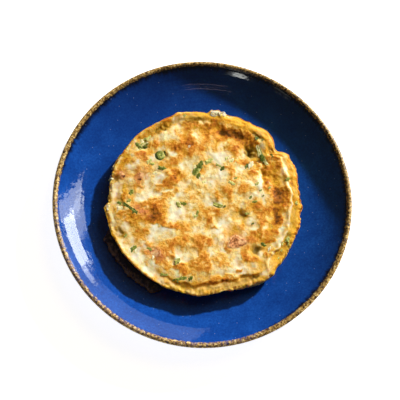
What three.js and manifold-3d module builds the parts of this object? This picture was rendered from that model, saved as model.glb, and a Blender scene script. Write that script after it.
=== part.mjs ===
// A thick round salmon omelette, turned out browned side up on a glazed coupe plate.
// Millimetres, +Z up. The origin is the middle of the foot ring, on the surface the plate stands on.
// -Y is the front edge, where the omelette's two layers part.
import * as THREE from "three";
import { mergeVertices } from "three/addons/utils/BufferGeometryUtils.js";
import Module from "manifold-3d";

const wasm = await Module();
wasm.setup();

// ---------------------------------------------------------------- driving dimensions

const PLATE = {
  radius: 130,
  height: 25,
  footOuter: 75,
  footInner: 68,
  footHeight: 2.5,
  footSlope: 1.4,
  floorRadius: 82,
  floorThickness: 5,
  rimThickness: 4.4,
  turns: 68,
  wallSteps: 8,
  rimSteps: 8,
};
const FLOOR_TOP = PLATE.footHeight + PLATE.floorThickness;

// Pieces that rest on or in one another keep this much air between their meshes.
const GAP = 0.3;

const OMELETTE = {
  middleX: 1,
  middleY: -2.5,
  radiusX: 85,
  radiusY: 84,
  base: FLOOR_TOP + GAP,
  thickness: 15.6,
  crown: 0.9,
  turns: 90,
};

// Where the edge swells or draws in: bearing from +X and spread in degrees, outward in mm.
const EDGE_SWELLS = [
  { at: 21, spread: 7, out: 3.0 },
  { at: 30, spread: 3, out: 2.6 },
  { at: 36, spread: 4, out: -4.4 },
  { at: 49, spread: 7, out: 2.9 },
  { at: 67, spread: 4, out: 1.2 },
  { at: 81, spread: 4.5, out: 2.8 },
  { at: 103, spread: 8, out: 1.8 },
  { at: 130, spread: 13, out: 1.9 },
  { at: 153, spread: 6, out: 1.2 },
  { at: 175, spread: 5, out: -1.2 },
  { at: 186, spread: 4, out: 1.8 },
  { at: 197, spread: 5, out: 0.8 },
  { at: 228, spread: 16, out: -2.6 },
  { at: 257, spread: 7, out: -2 },
  { at: 265, spread: 3, out: 1.4 },
  { at: 280, spread: 9, out: -3.6 },
  { at: 307, spread: 9, out: 2.8 },
  { at: 334, spread: 6, out: -1.2 },
  { at: 345, spread: 4, out: 1.4 },
  { at: 356, spread: 3, out: 0.8 },
];

// Stretches of the edge, each strongest at its middle bearing and gone past its half length.
const ARCS = {
  backLip: { at: 66, half: 56 },
  leftLip: { at: 175, half: 62 },
  rightShoulder: { at: -4, half: 34 },
  frontLayers: { at: 287, half: 40 },
  liftedRim: { at: 222, half: 44 },
};
const LIP = { backRise: 2.6, leftRise: 1.0, inset: 3.6, width: 3.4 };
const LIP_GROOVE = { depth: 1.5, inset: 10.5, width: 3.6 };
const SHOULDER = { fall: 3.6, width: 12 };
const LAYERS = { topInset: 4.2, splitDepth: 4.4, topFall: 1.2 };
const LIFT = { rise: 2.4, undercut: 3.5 };

// Lumps and dents of the browned top, in the omelette's place on the plate.
const TOP_LUMPS = [
  { x: -41, y: -12.3, spread: 13, rise: 1.1 },
  { x: -62, y: -15.3, spread: 8, rise: 0.8 },
  { x: -51, y: 24.7, spread: 12, rise: 0.9 },
  { x: -27, y: 16.7, spread: 9, rise: 0.9 },
  { x: -6, y: 42.7, spread: 12, rise: 1.0 },
  { x: -26, y: 52.7, spread: 9, rise: 0.8 },
  { x: -34, y: 57.7, spread: 6, rise: 0.9 },
  { x: 25, y: 8.7, spread: 13, rise: 1.0 },
  { x: 43, y: 6.7, spread: 9, rise: 0.8 },
  { x: 64, y: -7.3, spread: 9, rise: 1.2 },
  { x: 56, y: -31.3, spread: 10, rise: 0.9 },
  { x: -20, y: -39.3, spread: 12, rise: 1.0 },
  { x: 8, y: -63.3, spread: 14, rise: 0.9 },
  { x: -36, y: -54.3, spread: 9, rise: 0.7 },
  { x: 18, y: -13.3, spread: 9, rise: 0.6 },
  { x: -46, y: 6.7, spread: 9, rise: -1.3 },
  { x: -58, y: -38.3, spread: 10, rise: -0.9 },
  { x: -39, y: -35.3, spread: 7, rise: -0.7 },
  { x: -15, y: -50.3, spread: 8, rise: -1.7 },
  { x: 31, y: -16.3, spread: 6, rise: -1.6 },
  { x: 22, y: -29.3, spread: 6, rise: -0.9 },
  { x: 13, y: -36.3, spread: 6, rise: 0.7 },
  { x: 6, y: 28.7, spread: 11, rise: -0.8 },
  { x: -24, y: -13.3, spread: 8, rise: -0.7 },
  { x: 36, y: 34.7, spread: 5, rise: -2.0 },
  { x: 50, y: 8.7, spread: 4, rise: 0.9 },
  { x: 43, y: -47.3, spread: 3.5, rise: -1.8 },
  { x: -52, y: 46.7, spread: 5, rise: -1.2 },
  { x: -28, y: -57.3, spread: 3.5, rise: -1.1 },
];
const RIPPLE = { rise: 0.35, lengthX: 19, lengthY: 23 };

// The side from the contact edge up: share of the lip's height, inset from the outermost edge,
// and how much of each local feature (lift and undercut below, split and step back above) it takes.
const SIDE_LEVELS = [
  { share: 0, inset: 13, undercut: 1, lift: 0, split: 0, back: 0 },
  { share: 0.05, inset: 7, undercut: 1, lift: 0.6, split: 0, back: 0 },
  { share: 0.2, inset: 2.4, undercut: 0.3, lift: 1, split: 0, back: 0 },
  { share: 0.4, inset: 0.1, undercut: 0, lift: 0.6, split: 0, back: 0 },
  { share: 0.53, inset: 0.5, undercut: 0, lift: 0.3, split: 0.4, back: 0 },
  { share: 0.6, inset: 0.7, undercut: 0, lift: 0, split: 1, back: 0.8 },
  { share: 0.7, inset: 0.8, undercut: 0, lift: 0, split: 0, back: 1 },
  { share: 0.86, inset: 1.1, undercut: 0, lift: 0, split: 0, back: 1 },
  { share: 0.96, inset: 1.9, undercut: 0, lift: 0, split: 0, back: 1 },
];
// The top from its edge inward: first at set distances, then at shares of the way to the middle.
const TOP_INSETS = [3.4, 6, 9.5, 13.5, 19];
const TOP_SHARES = [0.66, 0.55, 0.44, 0.33, 0.22, 0.11];
const UNDERSIDE_SHARE = 0.5;

// Pieces of salmon that show in the top: middle, length along the turn, width, height.
const SALMON = {
  salmon_flake_front: { x: 27.2, y: -40.1, turn: 14, length: 15, width: 11.5, height: 6, bend: 0 },
  salmon_flake_left: { x: -53.8, y: 18.7, turn: 62, length: 10.5, width: 7, height: 4.4, bend: 0 },
  salmon_flake_far_left: { x: -70.6, y: 21.1, turn: 118, length: 9, width: 6, height: 4, bend: 0 },
  salmon_flake_low: { x: -41.6, y: -49.9, turn: 150, length: 11, width: 8, height: 4.6, bend: 0 },
};
// Larger pieces of green onion and leek, bend being the sideways bow of a strip.
const ONION = {
  onion_strip_back: { x: 46.5, y: 41.7, turn: 118, length: 23, width: 7, height: 4, bend: 2.2 },
  onion_piece_middle: { x: -4.6, y: 24.3, turn: 55, length: 14, width: 7, height: 4, bend: 1 },
  onion_piece_centre: { x: 12.6, y: -8, turn: 158, length: 10, width: 5, height: 3.6, bend: 0.8 },
  onion_piece_left: { x: -52.6, y: 47.9, turn: 35, length: 12, width: 6.4, height: 3.8, bend: 1 },
  onion_strip_left: { x: -64.6, y: -8.7, turn: 144, length: 18, width: 4, height: 3, bend: 0.8 },
};
const ONION_RING = { x: -37.3, y: 37.9, outer: 4.7, tube: 1.5, pocketMouth: 6, sides: 7, turns: 14 };
// Share of a piece's height that stands out of the egg round it.
const PROUD = 0.32;
const PIECE_STEPS = 6;
const PIECE_SIDES = 8;
const PIECE_SQUARENESS = 0.72;

const FINISH = {
  plate: { color: 0x1c4a94, roughness: 0.18, metalness: 0 },
  omelette: { color: 0xe0b765, roughness: 0.62, metalness: 0 },
  salmon: { color: 0xcf8a62, roughness: 0.55, metalness: 0 },
  onion: { color: 0x5f8238, roughness: 0.5, metalness: 0 },
};

// ---------------------------------------------------------------- helpers

const radians = THREE.MathUtils.degToRad;
const degrees = THREE.MathUtils.radToDeg;
const mix = THREE.MathUtils.lerp;
const bell = (distance, spread) => Math.exp(-((distance / spread) ** 2));
const FULL_SHARE = 0.55;

function bearingBetween(from, to) {
  const turn = (((to - from) % 360) + 540) % 360;
  return turn - 180;
}

// 1 at the middle of a stretch of the edge, easing to 0 at its half length.
function strength(arc, bearing) {
  const share = Math.abs(bearingBetween(arc.at, bearing)) / arc.half;
  return 1 - THREE.MathUtils.smoothstep(share, FULL_SHARE, 1);
}

function closedGeometry(positions, triangles) {
  const geometry = new THREE.BufferGeometry();
  geometry.setAttribute("position", new THREE.Float32BufferAttribute(positions, 3));
  geometry.setIndex(triangles);
  return geometry;
}

// A closed skin over rings of equal count, with a point at its first and its last end.
function skinRings(firstPoint, rings, lastPoint) {
  const count = rings[0].length;
  const last = rings.length - 1;
  const positions = [firstPoint, ...rings.flat(), lastPoint].flat();
  const at = (ring, step) => 1 + ring * count + (step % count);
  const end = 1 + rings.length * count;
  const triangles = [];
  for (let step = 0; step < count; step += 1) {
    triangles.push(0, at(0, step + 1), at(0, step));
    for (let ring = 0; ring < last; ring += 1) {
      triangles.push(at(ring, step), at(ring, step + 1), at(ring + 1, step + 1));
      triangles.push(at(ring, step), at(ring + 1, step + 1), at(ring + 1, step));
    }
    triangles.push(at(last, step), at(last, step + 1), end);
  }
  return closedGeometry(positions, triangles);
}

function toSolid(geometry) {
  const bare = geometry.clone();
  bare.deleteAttribute("normal");
  bare.deleteAttribute("uv");
  const merged = mergeVertices(bare);
  const vertProperties = new Float32Array(merged.attributes.position.array);
  const triVerts = new Uint32Array(merged.index.array);
  return new wasm.Manifold(new wasm.Mesh({ numProp: 3, vertProperties, triVerts }));
}

function toGeometry(solid) {
  const mesh = solid.getMesh();
  return closedGeometry(Array.from(mesh.vertProperties), Array.from(mesh.triVerts));
}

// ---------------------------------------------------------------- plate

// The wall's middle line is one arc that leaves the floor level and ends in the rim's centre.
function wallArc() {
  const rimHalf = PLATE.rimThickness / 2;
  const run = PLATE.radius - rimHalf - PLATE.floorRadius;
  const startHeight = PLATE.footHeight + PLATE.floorThickness / 2;
  const rise = PLATE.height - rimHalf - startHeight;
  const bendRadius = (run ** 2 + rise ** 2) / (2 * rise);
  const rimSlope = Math.asin(run / bendRadius);
  return (share, side) => {
    const slope = rimSlope * share;
    const half = (mix(PLATE.floorThickness, PLATE.rimThickness, share) / 2) * side;
    const radius = PLATE.floorRadius + bendRadius * Math.sin(slope) - half * Math.sin(slope);
    const height = startHeight + bendRadius * (1 - Math.cos(slope)) + half * Math.cos(slope);
    return new THREE.Vector2(radius, height);
  };
}

function plateProfile() {
  const wall = wallArc();
  const points = [
    new THREE.Vector2(0, PLATE.footHeight),
    new THREE.Vector2(PLATE.footInner - PLATE.footSlope, PLATE.footHeight),
    new THREE.Vector2(PLATE.footInner, 0),
    new THREE.Vector2(PLATE.footOuter, 0),
    new THREE.Vector2(PLATE.footOuter + PLATE.footSlope, PLATE.footHeight),
  ];
  for (let step = 0; step <= PLATE.wallSteps; step += 1) {
    points.push(wall(step / PLATE.wallSteps, -1));
  }
  const outside = wall(1, -1);
  const inside = wall(1, 1);
  const centre = outside.clone().add(inside).multiplyScalar(0.5);
  for (let step = 1; step < PLATE.rimSteps; step += 1) {
    const turn = (Math.PI * step) / PLATE.rimSteps;
    points.push(outside.clone().rotateAround(centre, turn));
  }
  for (let step = PLATE.wallSteps; step >= 0; step -= 1) {
    points.push(wall(step / PLATE.wallSteps, 1));
  }
  points.push(new THREE.Vector2(0, FLOOR_TOP));
  return points;
}

function plateGeometry() {
  const geometry = new THREE.LatheGeometry(plateProfile(), PLATE.turns);
  geometry.rotateX(Math.PI / 2);
  return geometry;
}

// ---------------------------------------------------------------- omelette

function edgeRadius(bearing) {
  const angle = radians(bearing);
  const { radiusX, radiusY } = OMELETTE;
  const oval = 1 / Math.hypot(Math.cos(angle) / radiusX, Math.sin(angle) / radiusY);
  const swell = ({ at, spread, out }) => out * bell(bearingBetween(at, bearing), spread);
  return EDGE_SWELLS.reduce((radius, feature) => radius + swell(feature), oval);
}

// How far the top layer's edge stands back from the outermost edge below it.
const topInset = (bearing) => LAYERS.topInset * strength(ARCS.frontLayers, bearing);

const ripple = (x, y) => {
  const alongX = Math.sin((2 * Math.PI * x) / RIPPLE.lengthX);
  const alongY = Math.cos((2 * Math.PI * y) / RIPPLE.lengthY);
  return RIPPLE.rise * alongX * alongY;
};

function lumps(x, y) {
  const rise = (lump) => lump.rise * bell(Math.hypot(x - lump.x, y - lump.y), lump.spread);
  return TOP_LUMPS.reduce((height, lump) => height + rise(lump), 0);
}

// What runs along the edge: the raised lip, the groove inside it and the falling shoulders.
function edgeRelief(bearing, inset) {
  const backLip = strength(ARCS.backLip, bearing);
  const lipRise = LIP.backRise * backLip + LIP.leftRise * strength(ARCS.leftLip, bearing);
  const lip = lipRise * bell(inset - LIP.inset, LIP.width);
  const groove = LIP_GROOVE.depth * backLip * bell(inset - LIP_GROOVE.inset, LIP_GROOVE.width);
  const nearEdge = 1 - THREE.MathUtils.smoothstep(inset, 0, SHOULDER.width);
  const rightFall = SHOULDER.fall * strength(ARCS.rightShoulder, bearing);
  const frontFall = LAYERS.topFall * strength(ARCS.frontLayers, bearing);
  return lip - groove - (rightFall + frontFall) * nearEdge;
}

// Height of the top over the omelette's base.
function topHeight(x, y) {
  const outX = x - OMELETTE.middleX;
  const outY = y - OMELETTE.middleY;
  const bearing = degrees(Math.atan2(outY, outX));
  const edge = edgeRadius(bearing);
  const reach = Math.hypot(outX, outY);
  const crown = OMELETTE.crown * (1 - (reach / edge) ** 2);
  const alongEdge = edgeRelief(bearing, edge - topInset(bearing) - reach);
  return OMELETTE.thickness + crown + ripple(x, y) + lumps(x, y) + alongEdge;
}

// A place on the omelette by bearing and by distance in from the outermost edge.
function placeAt(bearing, inset) {
  const reach = edgeRadius(bearing) - inset;
  const x = OMELETTE.middleX + reach * Math.cos(radians(bearing));
  const y = OMELETTE.middleY + reach * Math.sin(radians(bearing));
  return [x, y];
}

function topPoint(bearing, inset) {
  const [x, y] = placeAt(bearing, inset);
  return [x, y, OMELETTE.base + topHeight(x, y)];
}

function sidePoint(bearing, level) {
  const stepBack = topInset(bearing);
  const [, , lipTop] = topPoint(bearing, TOP_INSETS[0] + stepBack);
  const lifted = strength(ARCS.liftedRim, bearing);
  const split = LAYERS.splitDepth * strength(ARCS.frontLayers, bearing) * level.split;
  const inset = level.inset + level.back * stepBack + split + level.undercut * LIFT.undercut * lifted;
  const height = (lipTop - OMELETTE.base) * level.share + level.lift * LIFT.rise * lifted;
  return [...placeAt(bearing, inset), OMELETTE.base + height];
}

function omeletteGeometry() {
  const { middleX, middleY, base, turns } = OMELETTE;
  const bearings = Array.from({ length: turns }, (_, step) => (360 * step) / turns);
  const ring = (pointAt) => bearings.map(pointAt);
  const underside = (bearing) => [...placeAt(bearing, edgeRadius(bearing) * UNDERSIDE_SHARE), base];
  const innerTop = (share) => (bearing) => topPoint(bearing, edgeRadius(bearing) * (1 - share));
  const rings = [
    ring(underside),
    ...SIDE_LEVELS.map((level) => ring((bearing) => sidePoint(bearing, level))),
    ...TOP_INSETS.map((inset) => ring((bearing) => topPoint(bearing, inset + topInset(bearing)))),
    ...TOP_SHARES.map((share) => ring(innerTop(share))),
  ];
  const top = [middleX, middleY, base + topHeight(middleX, middleY)];
  return skinRings([middleX, middleY, base], rings, top);
}

// ---------------------------------------------------------------- pieces set into the top

// A rounded block along a bowed line. Grown by the gap, the same form cuts the pocket it lies in.
function pieceGeometry({ x, y, turn, length, width, height, bend }, grow) {
  const along = radians(turn);
  const halfLength = length / 2 + grow;
  const soften = (value) => Math.sign(value) * Math.abs(value) ** PIECE_SQUARENESS;
  const middleZ = OMELETTE.base + topHeight(x, y) - height * (0.5 - PROUD);
  const place = (reach, aside, up) => {
    const bow = bend * (1 - (reach / halfLength) ** 2) - bend / 2;
    const across = aside + bow;
    const px = x + reach * Math.cos(along) - across * Math.sin(along);
    const py = y + reach * Math.sin(along) + across * Math.cos(along);
    return [px, py, middleZ + up];
  };
  const rings = [];
  for (let step = 1; step < PIECE_STEPS; step += 1) {
    const polar = (Math.PI * step) / PIECE_STEPS;
    const fullness = Math.sin(polar) ** PIECE_SQUARENESS;
    const reach = -halfLength * soften(Math.cos(polar));
    const ring = [];
    for (let side = 0; side < PIECE_SIDES; side += 1) {
      const angle = (2 * Math.PI * side) / PIECE_SIDES;
      const aside = (width / 2 + grow) * fullness * soften(Math.cos(angle));
      const up = (height / 2 + grow) * fullness * soften(Math.sin(angle));
      ring.push(place(reach, aside, up));
    }
    rings.push(ring);
  }
  return skinRings(place(-halfLength, 0, 0), rings, place(halfLength, 0, 0));
}

function ringMiddle() {
  const { x, y, tube } = ONION_RING;
  return new THREE.Vector3(x, y, OMELETTE.base + topHeight(x, y) - tube * (1 - 2 * PROUD));
}

// A slice of green onion: a ring, round in section, lying flat.
function onionRingGeometry() {
  const { outer, tube, sides, turns } = ONION_RING;
  const section = [];
  for (let side = 0; side <= sides; side += 1) {
    const angle = (2 * Math.PI * (side % sides)) / sides;
    section.push(new THREE.Vector2(outer - tube + tube * Math.cos(angle), tube * Math.sin(angle)));
  }
  const geometry = new THREE.LatheGeometry(section, turns);
  geometry.rotateX(Math.PI / 2);
  geometry.translate(...ringMiddle());
  return geometry;
}

// The pocket under the ring is a round dimple, open at the top, with no egg in the ring's middle.
function ringPocketGeometry() {
  const { outer, tube, turns, pocketMouth } = ONION_RING;
  const depth = tube + GAP;
  const wall = outer + 2 * GAP;
  const outline = [
    new THREE.Vector2(0, -depth),
    new THREE.Vector2(outer - tube, -depth),
    new THREE.Vector2(outer - tube + depth * Math.SQRT1_2 + GAP, -depth * Math.SQRT1_2),
    new THREE.Vector2(wall, 0),
    new THREE.Vector2(wall, pocketMouth),
    new THREE.Vector2(0, pocketMouth),
  ];
  const geometry = new THREE.LatheGeometry(outline, turns);
  geometry.rotateX(Math.PI / 2);
  geometry.translate(...ringMiddle());
  return geometry;
}

function cutOmelette() {
  let solid = toSolid(omeletteGeometry());
  for (const piece of Object.values({ ...SALMON, ...ONION })) {
    solid = solid.subtract(toSolid(pieceGeometry(piece, GAP)));
  }
  solid = solid.subtract(toSolid(ringPocketGeometry()));
  return toGeometry(solid);
}

// ---------------------------------------------------------------- assembly

function addPiece(group, name, geometry, finish) {
  geometry.computeVertexNormals();
  const mesh = new THREE.Mesh(geometry, new THREE.MeshStandardMaterial(finish));
  mesh.name = name;
  group.add(mesh);
}

const dish = new THREE.Group();
addPiece(dish, "plate", plateGeometry(), FINISH.plate);
addPiece(dish, "omelette", cutOmelette(), FINISH.omelette);
for (const [name, piece] of Object.entries(SALMON)) {
  addPiece(dish, name, pieceGeometry(piece, 0), FINISH.salmon);
}
for (const [name, piece] of Object.entries(ONION)) {
  addPiece(dish, name, pieceGeometry(piece, 0), FINISH.onion);
}
addPiece(dish, "onion_ring", onionRingGeometry(), FINISH.onion);

export default dish;
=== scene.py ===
# %% [markdown]
# # A salmon omelette on a glazed plate
#
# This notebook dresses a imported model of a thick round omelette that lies, browned side up, on a
# hand-thrown coupe plate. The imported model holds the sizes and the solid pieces. Each cell below adds
# the finish that a cook or a potter would know: glaze, browned crust, flaked salmon, green onion.
#
# Blender counts in metres. Food is easier to think of in millimetres, so the sizes of the food are
# written in millimetres and multiplied by MM when they reach a mesh. The room, the plate and all that
# a material reads stay in metres.

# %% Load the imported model
import math

import bpy
import numpy as np
from mathutils import Matrix, Vector, noise


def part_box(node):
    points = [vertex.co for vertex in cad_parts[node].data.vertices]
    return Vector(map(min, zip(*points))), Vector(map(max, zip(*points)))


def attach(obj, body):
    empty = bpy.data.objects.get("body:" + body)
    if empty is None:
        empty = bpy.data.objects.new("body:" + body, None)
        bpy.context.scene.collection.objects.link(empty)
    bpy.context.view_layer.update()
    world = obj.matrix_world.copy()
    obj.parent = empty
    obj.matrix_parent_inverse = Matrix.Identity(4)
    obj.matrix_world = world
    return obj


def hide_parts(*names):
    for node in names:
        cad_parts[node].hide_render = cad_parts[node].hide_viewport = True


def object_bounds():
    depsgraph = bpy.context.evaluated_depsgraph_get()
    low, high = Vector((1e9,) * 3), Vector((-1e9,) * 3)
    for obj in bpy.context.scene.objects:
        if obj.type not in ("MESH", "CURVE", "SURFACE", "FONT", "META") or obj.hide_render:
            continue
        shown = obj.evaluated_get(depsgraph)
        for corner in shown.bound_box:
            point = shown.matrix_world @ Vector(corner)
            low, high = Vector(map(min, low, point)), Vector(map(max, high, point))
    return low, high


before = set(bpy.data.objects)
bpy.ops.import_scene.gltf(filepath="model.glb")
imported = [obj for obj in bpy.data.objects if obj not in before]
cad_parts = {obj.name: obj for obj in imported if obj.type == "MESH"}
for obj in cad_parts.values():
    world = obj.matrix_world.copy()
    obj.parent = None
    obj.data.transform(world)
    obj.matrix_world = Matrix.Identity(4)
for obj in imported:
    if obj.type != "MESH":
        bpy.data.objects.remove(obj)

MM = 0.001
cad_low, cad_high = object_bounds()
print("packed model, mm:", [round(size / MM, 1) for size in cad_high - cad_low])

# %% [markdown]
# ## The camera
#
# Someone who admires a plate of food stands almost above it and leans in from the front, a little to
# the left. The camera could be turned with a Track To constraint, but a matrix says the same thing
# outright: its third column points away from the subject, the first two are the picture's right and
# up. A slight roll tips the plate's long axis a little, as a hand-held view does.

# %% Place the camera
CAMERA_TARGET = Vector((-2.3, 0.3, 12)) * MM
CAMERA_DISTANCE = 0.66
CAMERA_BEARING = -97.07
CAMERA_ELEVATION = 72.7
CAMERA_ROLL = math.radians(6.41)
CAMERA_LENS = 67.3


def toward(bearing, elevation):
    """The direction from the table to a place in the room. Both angles are in degrees."""
    turn = math.radians(bearing)
    level = math.cos(math.radians(elevation))
    return Vector((level * math.cos(turn), level * math.sin(turn), math.sin(math.radians(elevation))))


def camera_matrix():
    """The camera's right, up and away as a turn, and the place where it stands."""
    away = toward(CAMERA_BEARING, CAMERA_ELEVATION)
    right = Vector((0, 0, 1)).cross(away).normalized()
    up = away.cross(right)
    rolled_right = right * math.cos(CAMERA_ROLL) + up * math.sin(CAMERA_ROLL)
    rolled_up = up * math.cos(CAMERA_ROLL) - right * math.sin(CAMERA_ROLL)
    place = Matrix((rolled_right, rolled_up, away)).transposed().to_4x4()
    place.translation = CAMERA_TARGET + away * CAMERA_DISTANCE
    return place


camera = bpy.data.objects.new("camera", bpy.data.cameras.new("camera"))
camera.data.lens = CAMERA_LENS
camera.matrix_world = camera_matrix()
bpy.context.scene.collection.objects.link(camera)
bpy.context.scene.camera = camera
print("camera stands at, m:", [round(value, 3) for value in camera.matrix_world.translation])

# %% [markdown]
# ## The light
#
# Low sun through a window shows every bump of a crust and throws long shadows. A Sun lamp keeps the
# same strength all over the table, and its width of a few degrees softens the edge of the shadow. An
# area lamp could be used too, but it would fade from one side of the plate to the other. A second Sun,
# wide, weak and warm, stands for the light that the room sends back. Neither shows in a mirror: what
# the glaze reflects is set up apart. The Standard view transform keeps colours as they are mixed.

# %% Set up the key and the fill
KEY_BEARING = 45
KEY_ELEVATION = 25.2
KEY_WIDTH = 3.2
KEY_STRENGTH = 4.75
KEY_COLOR = (1.0, 0.975, 0.93)
SUN_DISTANCE = 1.5


def add_lamp(name, kind, direction, distance, energy, color):
    """A lamp that stands in a direction from the plate and shines at it."""
    lamp = bpy.data.objects.new(name, bpy.data.lights.new(name, kind))
    lamp.data.energy = energy
    lamp.data.color = color
    lamp.location = direction * distance
    lamp.rotation_euler = direction.to_track_quat("Z", "Y").to_euler()
    bpy.context.scene.collection.objects.link(lamp)
    return lamp


def add_sun(name, elevation, width, strength, color):
    """A Sun on the window's side, some degrees wide, that no mirror shows."""
    lamp = add_lamp(name, "SUN", toward(KEY_BEARING, elevation), SUN_DISTANCE, strength, color)
    lamp.data.angle = math.radians(width)
    lamp.visible_glossy = False
    return lamp


add_sun("key_lamp", KEY_ELEVATION, KEY_WIDTH, KEY_STRENGTH, KEY_COLOR)
add_sun("fill_lamp", elevation=42, width=34, strength=0.6, color=(1.0, 0.79, 0.42))
bpy.context.scene.view_settings.view_transform = "Standard"
print("key from bearing and elevation:", KEY_BEARING, KEY_ELEVATION)

# %% [markdown]
# Light linking lets a lamp shine on one collection of things only. Moist egg glints in the sun, and
# its hollows glow with light that comes down from a pale ceiling. The dark wall of the plate is eased
# by the wide soft light of the sky. Each of these is a Sun of its own, so that the food can be tuned
# without changing the plate. The glint lamp stands where the key does, and only its mirrored light
# counts. The key and the fill are left unlinked, because they light everything.

# %% Add lamps for the food and for the glaze
GLINT_SHARE = 0.4
food = bpy.data.collections.new("food")
crockery = bpy.data.collections.new("crockery")
glint_lamp = add_sun("glint_lamp", KEY_ELEVATION, KEY_WIDTH, GLINT_SHARE * KEY_STRENGTH, KEY_COLOR)
glint_lamp.visible_glossy = True
glint_lamp.visible_diffuse = False
glint_lamp.light_linking.receiver_collection = food
ceiling_lamp = add_sun("ceiling_lamp", elevation=64, width=60, strength=0.78, color=(1.0, 0.85, 0.48))
ceiling_lamp.light_linking.receiver_collection = food
sky_lamp = add_sun("sky_lamp", elevation=36, width=32, strength=0.3, color=(0.35, 0.6, 1.0))
sky_lamp.light_linking.receiver_collection = crockery

# %% [markdown]
# Glaze mirrors what stands round it: here the panes and the sill of a window, a bright wall, and
# smaller windows behind the one who looks. A picture of a room wrapped round the scene is the usual
# way. A few lit panels do as well, and each can be moved. Only reflections on the glaze see them. The
# table says how bright each one looks, so a lamp's power grows with its panel's area.

# %% Hang the panels that the glaze mirrors
PANEL_DISTANCE = 1.3
DAYLIGHT = (0.97, 1.0, 0.94)
WARM_WOOD = (1.0, 0.74, 0.86)

# name, bearing, elevation, width, height, how bright it looks
PANELS = [
    ("window_tall", 26, 38, 0.21, 0.80, 6.0),
    ("window_broad", 34, 47, 0.24, 0.40, 5.0),
    ("window_bright", 38.5, 31, 0.37, 0.42, 17.0),
    ("window_patch", 50, 23, 0.11, 0.16, 6.5),
    ("window_sill", 36, 10.5, 0.46, 0.04, 15.0),
    ("bright_wall", 60, 18, 1.20, 0.60, 1.1),
    ("far_window", -111, 47, 0.13, 0.09, 9.0),
    ("far_window_low", -108, 37, 0.20, 0.05, 2.5),
    ("far_wall", -138, 41, 0.16, 0.05, 0.7),
    ("warm_frame", -88, 75, 0.26, 0.025, 3.2),
    ("warm_frame_low", -90, 69, 0.30, 0.03, 2.2),
]
for name, side, elevation, width, height, brightness in PANELS:
    power = brightness * math.pi * width * height
    color = WARM_WOOD if name.startswith("warm") else DAYLIGHT
    panel = add_lamp(name, "AREA", toward(side, elevation), PANEL_DISTANCE, power, color)
    panel.data.shape = "RECTANGLE"
    panel.data.size = width
    panel.data.size_y = height
    panel.visible_diffuse = False
    panel.light_linking.receiver_collection = crockery
print("panels:", len(PANELS))

# %% [markdown]
# ## Helpers for nodes
#
# Every finish below is a small tree of nodes. Building trees by hand in Python is wordy, so a few
# helpers come first: one adds a node and fills its sockets, others wrap the nodes used most. A value
# may be a number, a colour or another node's socket, and the helper links or sets it.


# %% Add and feed a node
def feed(tree, socket, value):
    if isinstance(value, bpy.types.NodeSocket):
        tree.links.new(value, socket)
    else:
        socket.default_value = value


def add_node(tree, kind, settings=None, inputs=None):
    node = tree.nodes.new(kind)
    for option, value in (settings or {}).items():
        setattr(node, option, value)
    for key, value in (inputs or {}).items():
        feed(tree, node.inputs[key], value)
    return node


# %% [markdown]
# The room itself gives a little even light from every side. Mirrored rays find a brighter room than
# soft shade does, as in a room whose pale walls stand far off. The Light Path node tells the two kinds
# of ray apart, and Map Range turns its answer into the strength of the world's background.

# %% Light the room
ROOM_LIGHT = 0.018
ROOM_MIRRORED = 0.085
room = bpy.data.worlds.new("room")
room.use_nodes = True
ray_kind = add_node(room.node_tree, "ShaderNodeLightPath").outputs["Is Glossy Ray"]
room_range = {"Value": ray_kind, "To Min": ROOM_LIGHT, "To Max": ROOM_MIRRORED}
room_share = add_node(room.node_tree, "ShaderNodeMapRange", None, room_range).outputs[0]
background = room.node_tree.nodes["Background"]
feed(room.node_tree, background.inputs["Strength"], room_share)
feed(room.node_tree, background.inputs["Color"], (0.94, 0.95, 1.0, 1.0))
bpy.context.scene.world = room
print("room strength in shade and in mirrors:", ROOM_LIGHT, ROOM_MIRRORED)

# %% [markdown]
# The next helpers wrap one or two nodes each: arithmetic, mixing, ramps, noise and bump. Sway is the
# one used most. It moves a value up and down by a noise, and that is what frays every border below.


# %% Wrap the nodes used most
def srgb(red, green, blue):
    """A colour as a paint chart gives it, 0 to 255, as the linear colour that shaders mix."""
    linear = [
        value / 12.92 if value <= 0.04045 else ((value + 0.055) / 1.055) ** 2.4
        for value in (red / 255, green / 255, blue / 255)
    ]
    return (*linear, 1.0)


def calculate(tree, operation, first, second=0.0, third=0.0):
    inputs = {0: first, 1: second, 2: third}
    return add_node(tree, "ShaderNodeMath", {"operation": operation}, inputs).outputs[0]


def vector_math(tree, operation, first, second=(0, 0, 0), scale=1.0):
    """A vector from one or two others. The length and the dot product are plain numbers."""
    inputs = {0: first, 1: second, 3: scale}
    node = add_node(tree, "ShaderNodeVectorMath", {"operation": operation}, inputs)
    return node.outputs["Value" if operation in ("LENGTH", "DOT_PRODUCT") else "Vector"]


def sway(tree, wave, amount, base=0.0):
    """The base, moved up and down by a noise that runs from 0 to 1."""
    return calculate(tree, "MULTIPLY_ADD", calculate(tree, "SUBTRACT", wave, 0.5), amount, base)


def blend_colors(tree, share, below, above):
    inputs = {0: share, 6: below, 7: above}
    return add_node(tree, "ShaderNodeMix", {"data_type": "RGBA"}, inputs).outputs[2]


def remap(tree, value, low, high, to_low=0.0, to_high=1.0):
    """Eases from to_low to to_high while the value goes from low to high."""
    inputs = {0: value, 1: low, 2: high, 3: to_low, 4: to_high}
    settings = {"interpolation_type": "SMOOTHSTEP"}
    return add_node(tree, "ShaderNodeMapRange", settings, inputs).outputs[0]


def color_ramp(tree, value, stops):
    node = add_node(tree, "ShaderNodeValToRGB", None, {0: value})
    elements = node.color_ramp.elements
    while len(elements) < len(stops):
        elements.new(1.0)
    for element, (position, color) in zip(elements, stops):
        element.position = position
        element.color = color
    return node.outputs[0]


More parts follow.
